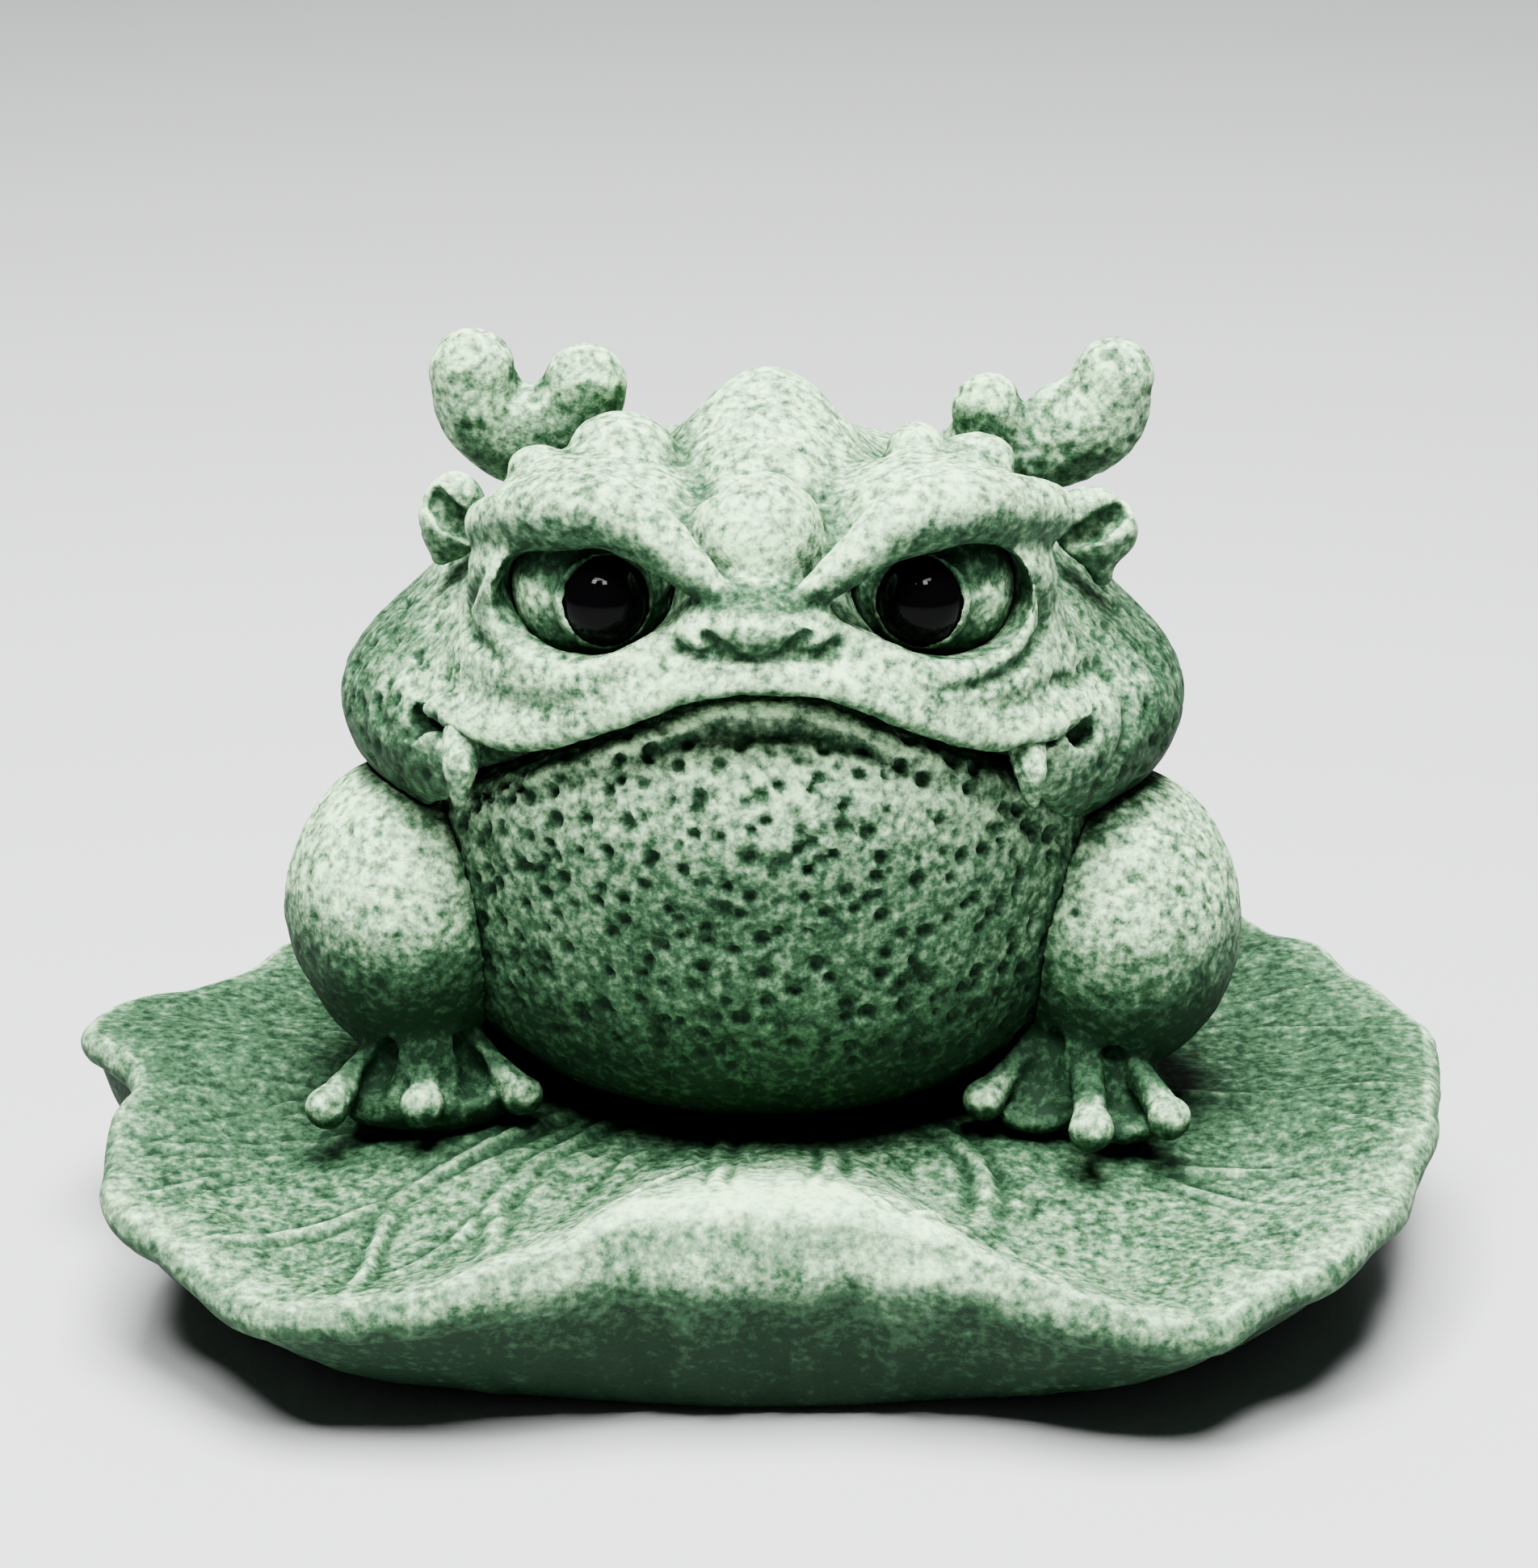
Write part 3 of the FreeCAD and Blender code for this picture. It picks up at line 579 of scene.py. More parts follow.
def mouth_area(field):
    """Upper lip, the slit under it, the corners and the cheek folds."""
    xs = np.arange(-21.5, 21.1, 1.0)
    lip = [field.on_face(x, lip_z(UPPER_LIP, x) + 1.0, 0.75) for x in xs]
    field.add(chain(lip, np.interp(np.abs(xs), [0, 12, 18, 22], [1.2, 1.3, 1.45, 1.1])), 1.1)

    def slit(x, y, z):
        across = np.abs(x)
        edge = jowl_edge(x, z)
        ends = np.where(x < 0, 22.4, 21.3)
        top = z - lip_z(UPPER_LIP, x)
        bottom = np.where(across < edge, -9.0, 41.7 + (across - edge) * 0.3 - z)
        core = -ellipsoid((0, -2, 42), (25.0, 19.0, 13.5)).distance(x, y, z)
        return np.maximum(np.maximum(top, bottom), np.maximum(core, np.maximum(y + 8, across - ends)))

    field.cut(Shape(slit, (-23, -31, 34), (23, -8, 50)), 0.8)

    def throat(x, y, z):
        edge = jowl_edge(x, z) + 0.2
        return np.maximum((z - lip_z(LOWER_LIP, x) - 0.4) * 0.8, np.maximum(y + 3, np.abs(x) - edge))

    field.cut(Shape(throat, (-22, -31, 26), (22, -3, 47)), 1.4)
    for middle in JOWL_RECESSES:
        field.cut(ellipsoid(middle, (1.9, 2.3, 2.7)), 0.9)
    for side, corner in MOUTH_CORNERS.items():
        corner = field.facing(corner, 0.5)[0]
        field.cut(chain([corner, corner + np.array([-side * 2.0, 0.2, -0.5])], (1.05, 0.7)), 0.6)
    for fold, widths in CHEEK_FOLDS:
        field.cut(flowing_chain(field.facing(fold), widths, 3), 0.8)


def sculpt_head():
    """The head, with room for the torso."""
    field = Field((-33, -31, 30), (33, 25, 67), BODY_STEP)
    head_shapes(field)
    for word in SIDES:
        eye_area(field, word)
    nose_area(field)
    mouth_area(field)
    add_back_warts(field, -2, 40, 38, 57, 9)
    field.keep(BOND_GAP - TORSO.distance(*field.points()))
    return field


HORNS = {
    "left_horn": (
        [(-12.6, -1.4, 57.6), (-16.8, -1.8, 58.6), (-19.2, -2.0, 60.8), (-19.8, -2.0, 63.6)], (2.7, 2.9, 3.0, 2.95),
        [(-13.2, -1.6, 58.6), (-12.5, -2.2, 61.0), (-12.1, -2.5, 62.8)], (3.0, 2.9, 2.8),
        ((-15.6, -2.0, 60.4), (2.2, 2.3, 2.2)),
    ),
    "right_horn": (
        [(13.6, -1.4, 57.2), (19.4, -1.8, 58.0), (22.9, -2.0, 60.0), (23.9, -2.0, 63.1)], (2.5, 2.8, 3.0, 2.8),
        [(15.6, -1.6, 58.2), (15.4, -2.2, 59.8), (15.2, -2.5, 61.2)], (2.6, 2.5, 2.4),
        ((20.8, -2.0, 60.4), (2.9, 2.4, 2.5)),
    ),
}


def sculpt_horn(name, head):
    """A horn with an outer stem and an inner tine."""
    stem, stem_radii, tine, tine_radii, web = HORNS[name]
    points = np.array(stem + tine)
    field = Field(points.min(axis=0) - 5, points.max(axis=0) + 4.5, 0.26)
    field.add(flowing_chain(stem, stem_radii))
    field.add(flowing_chain(tine, tine_radii), 0.8)
    field.add(ellipsoid(*web), 1.2)
    field.leave_room(head)
    return field


EARS = {
    "left_ear": (
        (-20.9, -8.0, 55.0), (2.3, 1.8, 3.0), 10.0, [(-21.8, -9.0, 56.4), (-20.8, -9.2, 55.2), (-19.4, -9.2, 54.2)],
        [(-20.9, -8.0, 54.0), (-21.8, -8.0, 52.3)], (1.7, 0.7),
    ),
    "right_ear": (
        (22.3, -8.0, 54.4), (3.0, 1.8, 2.5), 25.0, [(20.6, -9.2, 53.6), (22.4, -9.3, 54.6), (23.8, -9.0, 55.4)],
        [(22.4, -8.0, 53.6), (22.9, -8.0, 50.9)], (1.9, 0.7),
    ),
}


def sculpt_ear(name, head):
    """A thick-rimmed cup that comes to a point below."""
    middle, radii, lean, hollow, lobe, lobe_radii = EARS[name]
    field = Field(np.array(middle) - 6.5, np.array(middle) + 6.0, 0.2)
    field.add(ellipsoid(middle, radii, turned("y", lean)))
    field.add(chain(lobe, lobe_radii), 0.8)
    field.cut(chain(hollow, (0.8, 1.05, 0.8)), 0.4)
    field.leave_room(head)
    return field


FRONT_LEGS = {
    "left": (
        (-24.4, -7.4, 27.4), (8.7, 10.6, 10.1), (-23.2, -12.6, 18.4),
        [(-29.8, -17.2, 15.8), (-23.2, -17.6, 16.0), (-16.6, -15.4, 16.0)],
    ),
    "right": (
        (24.6, -7.4, 26.0), (8.6, 10.6, 10.6), (22.0, -12.8, 17.8),
        [(15.1, -16.4, 16.0), (22.1, -21.2, 15.8), (27.5, -19.2, 15.8)],
    ),
}


def side_field(side, reach, front, back, top, step):
    """A field for a limb on one side, over the leaf."""
    ends = sorted((side * 12.5, side * reach))
    return Field((ends[0], front, 12.2), (ends[1], back, top), step)


def toe(field, start, knuckle, tip, radii, pad):
    """A jointed toe with a round pad at its tip."""
    field.add(flowing_chain([start, knuckle, tip], radii, 4), 0.5)
    field.add(ellipsoid(tip, pad), 0.4)


def sculpt_front_leg(word, head):
    """Bulging upper arm over a small three-toed foot."""
    side = SIDES[word]
    arm, radii, wrist, toes = FRONT_LEGS[word]
    field = side_field(side, 35.5, -24.5, 6.5, 39.5, 0.3)
    field.add(ellipsoid(arm, radii))
    field.add(chain([(wrist[0] + side * 1.0, -9.5, 21.0), wrist], (5.6, 3.4)), 1.6)
    field.add(ellipsoid((wrist[0], -13.2, 15.4), (6.0, 3.6, 2.6)), 1.2)
    for tip in toes:
        start = (wrist[0] + (tip[0] - wrist[0]) * 0.3, -11.8, 19.4)
        knuckle = (wrist[0] + (tip[0] - wrist[0]) * 0.66, (tip[1] - 12.0) / 2, 17.7)
        toe(field, start, knuckle, tip, (1.3, 1.05, 1.15), (1.5, 1.55, 1.45))
    for a, b in zip(toes[:-1], toes[1:]):
        between = (np.array(a) + np.array(b)) / 2
        field.add(ellipsoid(between + (0, 3.4, -1.4), (2.4, 2.2, 1.1)), 0.6)
        root = (wrist[0] + (between[0] - wrist[0]) * 0.4, -13.8, 20.6)
        groove = [between + (0, -1.0, 0.2), between + (0, 2.2, 1.3), root]
        field.cut(chain(groove, (0.7, 1.0, 0.6)), 0.6)
    rest_on_leaf(field)
    field.keep(BOND_GAP - TORSO.distance(*field.points()))
    field.leave_room(head)
    return field


def sculpt_hind_leg(word, head):
    """Folded thigh, shin and a long three-toed foot."""
    side = SIDES[word]
    field = side_field(side, 34.0, 2.0, 31.0, 36.0, BODY_STEP)
    field.add(ellipsoid((side * 21.4, 15.8, 22.8), (8.4, 11.2, 8.6), turned("x", -24)))
    shin = [(27.2, 7.6, 22.6), (29.0, 13.0, 19.6), (28.2, 20.5, 16.6)]
    field.add(flowing_chain(mirrored(shin, side), (2.6, 2.9, 2.3)), 1.0)
    sole = [(27.6, 20.5, 15.2), (26.6, 13.0, 15.2)]
    field.add(chain(mirrored(sole, side), (2.0, 2.3)), 1.0)
    for tip in [(30.0, 8.4, 15.5), (26.4, 6.4, 15.7), (22.8, 7.6, 15.6)]:
        start = (26.2 + (tip[0] - 26.2) * 0.35, 13.6, 16.4)
        knuckle = (26.2 + (tip[0] - 26.2) * 0.75, 10.2, 16.5)
        toe(field, *mirrored([start, knuckle, tip], side), (1.4, 1.15, 1.2), (1.5, 1.6, 1.4))
    rest_on_leaf(field)
    field.keep(BOND_GAP - TORSO.distance(*field.points()))
    field.leave_room(head)
    return field


def rest_on_leaf(field):
    """Cuts a section off just below the leaf's upper face."""
    x, y, z = field.points()
    field.keep(leaf_plain_z(x, y) - LEAF_OVERLAP - z)


def sculpt_eyeball(word):
    """The stone ball behind a bead, with the bead's seat."""
    middle = EYEBALLS[word]
    field = Field(middle - 6.5, middle + 6.5, 0.22)
    field.add(ellipsoid(middle, (EYEBALL_R,) * 3))
    out, across, up = eye_axes(word)
    turn = np.radians(np.arange(0, 361, 15))[:, None]
    rim = EYES[word] + out * 1.0 + up * 0.4 + 2.95 * (np.cos(turn) * across + np.sin(turn) * up)
    field.add(chain(rim, 0.32 - 0.22 * np.sin(turn[:, 0])), 0.8)
    field.cut(ellipsoid(EYES[word], (3.05,) * 3), 0.12)
    return field


FANGS = {
    "left_fang": [(-19.8, -18.0, 42.6), (-19.9, -19.5, 41.0), (-20.0, -19.9, 38.7)],
    "right_fang": [(17.3, -19.2, 42.6), (17.5, -20.6, 41.2), (17.7, -20.9, 39.1)],
}


def sculpt_fang(name):
    """A short blunt tooth."""
    points = np.array(FANGS[name])
    field = Field(points.min(axis=0) - 2.2, points.max(axis=0) + 2.2, 0.14)
    field.add(flowing_chain(points, (1.3, 1.15, 0.45)))
    return field


# ---- surfaces

def point_normals(points, quads):
    """A unit normal at every point."""
    across = np.cross(points[quads[:, 2]] - points[quads[:, 0]], points[quads[:, 3]] - points[quads[:, 1]])
    found = np.zeros_like(points)
    for i in range(3):
        for corner in range(4):
            found[:, i] += np.bincount(quads[:, corner], across[:, i], minlength=len(points))
    return found / np.maximum(np.linalg.norm(found, axis=1, keepdims=True), 1e-9)


def relax(points, quads, rounds):
    """Points moved towards the average of their neighbours, several times over."""
    count = len(points)
    after = np.roll(quads, -1, axis=1)
    ends, others = np.concatenate([quads, after]).ravel(), np.concatenate([after, quads]).ravel()
    share = np.maximum(np.bincount(ends, minlength=count), 1)
    for _ in range(rounds):
        points = np.stack([
            0.5 * column + 0.5 * np.bincount(ends, column[others], minlength=count) / share
            for column in points.T
        ], axis=1)
    return points


def gathered(fields):
    """All the figurine's stone on one coarse grid, to find what is sheltered."""
    whole = Field((-56, -56, -4), (56, 50, 74), 1.0 / DETAIL)
    x, y, z = whole.points()
    grid = np.stack(np.broadcast_arrays(x, y, z), axis=-1)
    share = np.hypot(x, y) / around_rim(np.degrees(np.arctan2(y, x)), 1)
    values = np.maximum(z - leaf_plain_z(x, y), (share - 1.0) * 30.0)
    for field in fields:
        values = np.minimum(values, field.sample(grid))
    whole.values = np.minimum(values, FAR).astype(np.float32)
    return whole


def sheltered(whole, points, normals):
    """0 in the open, towards 1 in deep creases."""
    found = 0.0
    for reach, weight in ((1.0, 0.2), (2.0, 0.25), (4.0, 0.3), (7.0, 0.25)):
        open_reach = np.minimum(whole.sample(points + normals * reach), reach)
        found = found + weight * np.clip(1.0 - open_reach / reach, 0, 1)
    return found


def make_piece(name, points, quads, material, replaced, wash_and_shade=None, worn_and_highlight=None):
    """A mesh object, with any darkening and lightening on its points, riding on the figurine's body: paint washed
    into hollows with painted shade, and wear with painted highlight.
    """
    mesh = bpy.data.meshes.new(name)
    mesh.vertices.add(len(points))
    mesh.vertices.foreach_set("co", (points * MM).astype(np.float32).ravel())
    mesh.loops.add(quads.size)
    mesh.loops.foreach_set("vertex_index", quads.astype(np.int32).ravel())
    mesh.polygons.add(len(quads))
    mesh.polygons.foreach_set("loop_start", np.arange(0, quads.size, 4, dtype=np.int32))
    mesh.update(calc_edges=True)
    mesh.polygons.foreach_set("use_smooth", np.ones(len(quads), dtype=bool))
    for key, values in (("wash_and_shade", wash_and_shade), ("worn_and_highlight", worn_and_highlight)):
        layer = mesh.attributes.new(key, "FLOAT", "POINT")
        values = np.zeros(len(points)) if values is None else values
        layer.data.foreach_set("value", np.clip(values, 0, 2.2).astype(np.float32))
    mesh.materials.append(material)
    piece = bpy.data.objects.new(name, mesh)
    bpy.context.scene.collection.objects.link(piece)
    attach(piece, BODY)
    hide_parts(replaced)


def pit_strength(name, points):
    """Strong pits over the belly, weaker ones on the outer cheeks and the nape, hardly any elsewhere."""
    x, y, z = points.T
    if name == "torso":
        return rise(6, -2, y) * rise(45.5, 42.5, z - 0.012 * x * x + 0.9 * np.abs(x) / 10) * 0.95 + 0.15
    if name == "head":
        return 0.12 + 0.6 * rise(17, 25, np.abs(x)) * rise(53, 47, z) + 0.3 * rise(2, 12, y)
    return 0.25


def painted_shade_by_part(name, points):
    """More painted shade round the eyes, on the lower belly, the outer cheeks, in the crease under the forehead's
    knob and at the ankles; less on the lips' edges and the knob, which leaves them a painted highlight.
    """
    x, y, z = points.T
    if name.endswith("eyeball"):
        eye = EYES[name.split("_")[0]]
        ring = rise(1.5, 0.5, np.linalg.norm(points - eye, axis=1) - 3.0)
        # Painted shadow of the brow over the upper eyeball and painted shade in a ring round the bead; the rest a
        # little lighter.
        return 1.8 * rise(0.4, 2.4, z - eye[2]) + 0.5 * ring - 0.4
    front = rise(-8, -12, y)
    if name == "torso":
        edge = np.exp(-((z - lip_z(LOWER_LIP, x) + 0.6) / 0.5) ** 2) * rise(13, 9, np.abs(x)) * front
        # The lower belly darker, painted shade; the lower lip's edge lighter, painted highlight.
        return 0.5 * rise(27, 17, z) - 0.8 * edge
    if name == "head":
        lip = np.exp(-((z - lip_z(UPPER_LIP, x) - 1.4) / 1.3) ** 2) * front
        knob = rise(5.6, 3.6, np.linalg.norm(points - np.array((-0.4, -18.5, 56.0)), axis=1))
        crease = rise(1.1, 0.3, np.abs(z - 53.8)) * rise(5.0, 3.5, np.abs(x + 0.4)) * rise(-18, -20, y)
        # The outer cheeks darker, painted shade; the upper lip's edge and the knob lighter, painted highlight; the
        # crease under the knob darker, painted shade.
        return 0.75 * rise(18, 27, np.abs(x)) * rise(54, 47, z) - 0.5 * lip - 0.6 * knob + 0.7 * crease
    if name.endswith("front_leg"):
        toes = np.array(FRONT_LEGS[name.split("_")[0]][3])
        off_toes = np.linalg.norm(points[:, None] - toes, axis=2).min(axis=1)
        # Painted shade on the ankles, away from the toes' tips, and more towards the bottom.
        return 1.5 * rise(1.6, 3.4, off_toes) * rise(24, 20.5, z) + 0.3 * rise(24, 17, z)
    return 0.0


# How much painted shade each section gets on its undersides, by its name; 0.85 for the rest.
UNDERSIDE_SHADE = {
    "torso": 1.7, "left_front_leg": 1.9, "right_front_leg": 1.9, "head": 1.15, "left_horn": 0.5, "right_horn": 0.5,
}


def hollows(points, quads, whole, rounds, open_share):
    """Normals, how far each point lies below its surroundings in millimetres, and how sheltered it is."""
    normals = point_normals(points, quads)
    crease = np.einsum("ij,ij->i", relax(points, quads, rounds) - points, normals)
    shelter = np.clip(sheltered(whole, points, normals) - open_share, 0, 1)
    return normals, crease, shelter


# Share of the pits that are there, and the lumps' height in millimetres, by the last word of a name.
TEXTURES = {"torso": (1.0, 0.16), "head": (0.8, 0.16), "eyeball": (0.2, 0.04), "fang": (0.2, 0.04)}


def finish_section(name, field, whole, pit_share, lumps, seed):
    """Meshes a section, pits and roughens its surface, and gives it dark paint washed into its hollows with painted
    shade, and wear with painted highlight on its ridges.
    """
    points, quads = field.mesh()
    normals, crease, shelter = hollows(points, quads, whole, int(14 / DETAIL), 0.24)
    deep = pits(points, 1.5, 0.56, seed * 11, pit_share) * pit_strength(name, points)
    fine = pits(points, 1.05, 0.34, seed * 11 + 5, 0.4)
    rough = lumps * noise(points, 4.5, seed + 2)
    rough = rough + 0.05 * noise(points, 1.5, seed + 4) + 0.04 * noise(points, 0.8, seed + 3)
    points = points + normals * (rough - PIT_DEPTH * deep - FINE_PIT_DEPTH * fine)[:, None]
    # Undersides get painted shade.
    under = rise(0.35, -0.65, normals[:, 2])
    # Darkening: paint washed into pits and creases, painted shade in sheltered places, the painted shade each part
    # adds, and painted shade on undersides.
    wash_and_shade = 1.3 * deep + 0.25 * fine + 3.6 * np.clip(crease - 0.02, 0, 1) + shelter
    wash_and_shade = wash_and_shade + painted_shade_by_part(name, points)
    wash_and_shade = 1 - np.exp(-1.2 * np.maximum(wash_and_shade + UNDERSIDE_SHADE.get(name, 0.85) * under, 0.0))
    # Lightening on ridges and edges: wear and painted highlight.
    worn_and_highlight = 4.0 * np.clip(-crease - 0.02, 0, 1) * (1 - deep)
    make_piece(name + "_stone", points, quads, STONE, name, wash_and_shade, worn_and_highlight)


# ---- materials

def new_material(name):
    """A material, its node tree and its shader."""
    material = bpy.data.materials.new(name)
    material.use_nodes = True
    tree = material.node_tree
    return material, tree, tree.nodes["Principled BSDF"]


def node(tree, kind, **settings):
    """A new node with its settings."""
    made = tree.nodes.new(kind)
    for key, value in settings.items():
        setattr(made, key, value)
    return made


def maths(tree, operation, a, b, clamp=False):
    """A Math node between sockets or numbers."""
    made = node(tree, "ShaderNodeMath", operation=operation, use_clamp=clamp)
    for socket, value in zip(made.inputs, (a, b)):
        if isinstance(value, (int, float)):
            socket.default_value = value
        else:
            tree.links.new(value, socket)
    return made.outputs[0]


def object_place(tree):
    """Coordinates in the object's own space, in metres."""
    return node(tree, "ShaderNodeTexCoord").outputs["Object"]


def add_bump(tree, shader, height, strength, distance):
    """Small relief on a shader, with its distance in metres."""
    bump = node(tree, "ShaderNodeBump")
    bump.inputs["Strength"].default_value = strength
    bump.inputs["Distance"].default_value = distance
    tree.links.new(height, bump.inputs["Height"])
    tree.links.new(bump.outputs["Normal"], shader.inputs["Normal"])


def texture_noise(tree, place, scale, detail, roughness=0.55):
    """A noise texture in the object's own coordinates."""
    made = node(tree, "ShaderNodeTexNoise")
    made.inputs["Scale"].default_value = scale
    made.inputs["Detail"].default_value = detail
    made.inputs["Roughness"].default_value = roughness
    tree.links.new(place, made.inputs["Vector"])
    return made.outputs["Fac"]


def ramp(tree, value, stops):
    """A colour ramp over (place, colour) stops."""
    made = node(tree, "ShaderNodeValToRGB")
    elements = made.color_ramp.elements
    while len(elements) < len(stops):
        elements.new(0.5)
    for element, (place, colour) in zip(elements, stops):
        element.position = place
        element.color = (*colour, 1.0)
    tree.links.new(value, made.inputs["Fac"])
    return made.outputs["Color"]


def attribute(tree, name):
    """A value that the mesh carries on its points."""
    made = node(tree, "ShaderNodeAttribute", attribute_name=name, attribute_type="GEOMETRY")
    return made.outputs["Fac"]


def stone(name, brightness, speckle, wash_and_shade_depth):
    """Cast green stone: pale grains over a darker matrix, with dark paint washed into the hollows and painted shade,
    and wear with painted highlight on ridges.
    """
    material, tree, shader = new_material(name)
    place = object_place(tree)
    grain = texture_noise(tree, place, 1450, 3.0, 0.62)
    mottle = texture_noise(tree, place, 430, 2.0)
    cloud = texture_noise(tree, place, 75, 2.0)
    wash_and_shade, worn_and_highlight = attribute(tree, "wash_and_shade"), attribute(tree, "worn_and_highlight")
    tone = brightness
    for pattern, strength in ((grain, speckle), (mottle, 0.55), (cloud, 0.35)):
        swing = maths(tree, "MULTIPLY", maths(tree, "SUBTRACT", pattern, 0.5), strength)
        tone = maths(tree, "ADD", tone, swing)
    # Lighter where worn: wear and painted highlight.
    tone = maths(tree, "ADD", tone, maths(tree, "MULTIPLY", worn_and_highlight, 0.3))
    # Darker where washed: washed-in paint and painted shade.
    undarkened = maths(tree, "SUBTRACT", 1.0, maths(tree, "MULTIPLY", wash_and_shade, 0.55))
    tone = maths(tree, "MULTIPLY", tone, undarkened)
    tone = maths(tree, "SUBTRACT", tone, maths(tree, "MULTIPLY", wash_and_shade, wash_and_shade_depth), clamp=True)
    colour = ramp(tree, tone, [
        (0.0, (0.002, 0.016, 0.005)), (0.25, (0.027, 0.075, 0.034)), (0.5, (0.125, 0.218, 0.122)),
        (0.75, (0.315, 0.510, 0.290)), (1.0, (0.520, 0.870, 0.440)),
    ])
    tree.links.new(colour, shader.inputs["Base Color"])
    rough = maths(tree, "ADD", maths(tree, "MULTIPLY", grain, 0.2), 0.66)
    tree.links.new(rough, shader.inputs["Roughness"])
    shader.inputs["Specular IOR Level"].default_value = 0.14
    add_bump(tree, shader, texture_noise(tree, place, 2100, 3.0, 0.65), 0.55, 0.00022)
    return material


def glass_bead():
    """Polished black glass, with the faintest scuffs."""
    material, tree, shader = new_material("black_glass")
    place = object_place(tree)
    shader.inputs["Base Color"].default_value = (0.0008, 0.0008, 0.001, 1)
    shader.inputs["Specular IOR Level"].default_value = 0.04
    rough = maths(tree, "MULTIPLY", texture_noise(tree, place, 900, 3.0), 0.06)
    tree.links.new(maths(tree, "ADD", rough, 0.02), shader.inputs["Roughness"])
    return material


def felt_cloth():
    """Dark green felt."""
    material, tree, shader = new_material("green_felt")
    place = object_place(tree)
    fibres = texture_noise(tree, place, 2600, 4.0, 0.75)
    colour = ramp(tree, fibres, [(0.3, (0.006, 0.022, 0.012)), (0.7, (0.022, 0.062, 0.034))])
    tree.links.new(colour, shader.inputs["Base Color"])
    shader.inputs["Roughness"].default_value = 0.95
    shader.inputs["Sheen Weight"].default_value = 0.4
    add_bump(tree, shader, fibres, 0.7, 0.0002)
    return material


def drawn_steel():
    """Steel rod with fine drawing lines along it."""
    material, tree, shader = new_material("drawn_steel")
    place = object_place(tree)
    stretch = node(tree, "ShaderNodeMapping")
    stretch.inputs["Scale"].default_value = (1.0, 1.0, 0.05)
    tree.links.new(place, stretch.inputs["Vector"])
    lines = texture_noise(tree, stretch.outputs["Vector"], 4000, 2.0)
    colour = ramp(tree, lines, [(0.3, (0.42, 0.42, 0.43)), (0.7, (0.62, 0.62, 0.63))])
    tree.links.new(colour, shader.inputs["Base Color"])
    shader.inputs["Metallic"].default_value = 1.0
    rough = maths(tree, "ADD", maths(tree, "MULTIPLY", lines, 0.25), 0.2)
    tree.links.new(rough, shader.inputs["Roughness"])
    return material


def pale(name, colour):
    """The plain floor's material."""
    material, _, shader = new_material(name)
    shader.inputs["Base Color"].default_value = (*colour, 1)
    shader.inputs["Roughness"].default_value = 0.9
    return material


STONE = stone("figure_stone", 0.70, 2.1, 0.36)
LEAF_STONE = stone("leaf_stone", 0.34, 1.5, 0.22)
GLASS = glass_bead()
FELT = felt_cloth()
STEEL = drawn_steel()


# ---- the leaf

# Angle of each vein near the middle, how far it turns on its way out, in degrees, and its height in millimetres.
LEAF_VEINS = [
    (-166, 4, 0.6), (-152, -5, 0.7), (-139, 9, 1.1), (-128, 9, 0.8), (-112, -8, 0.4), (-98, -6, 0.8), (-77, -6, 0.8),
    (-51, -32, 0.9), (-36, 6, 0.6), (-14, -5, 0.7), (6, 5, 0.6), (34, -4, 0.9), (58, 6, 0.9), (84, -5, 0.9),
    (108, 5, 0.9), (131, -6, 0.9), (154, 6, 0.8), (178, -4, 0.7),
]


def leaf_veins(angles, shares, reach):
    """Relief of the veins in millimetres, and how far each point lies in a groove beside one."""
    relief = np.zeros(np.broadcast(angles, shares).shape)
    groove = np.zeros_like(relief)
    rng = np.random.default_rng(21)
    far = shares * reach
    for n, (start, sway, height) in enumerate(LEAF_VEINS):
        split = rng.uniform(0.6, 0.76)
        spread = rng.uniform(5, 9)
        for branch in (-1, 1):
            centre = start + sway * (shares - 0.4) + 1.0 * np.sin(shares * 14 + n)
            centre = centre + branch * (spread * np.clip(shares - split, 0, 1) ** 0.8 * 2.2 + 0.25)
            gap = (angles - centre + 180) % 360 - 180
            gap = np.radians(gap) * far
            width = 0.75 - 0.3 * shares
            strength = height * (1 - 0.45 * shares) * (0.75 + 0.35 * np.sin(shares * 19 + 2.3 * n))
            relief = np.maximum(relief, 0.50 * strength * np.exp(-(gap / width) ** 2))
            groove = np.maximum(groove, strength * np.exp(-((np.abs(gap) - 1.7 * width) / (0.55 * width)) ** 2))
    return relief, groove


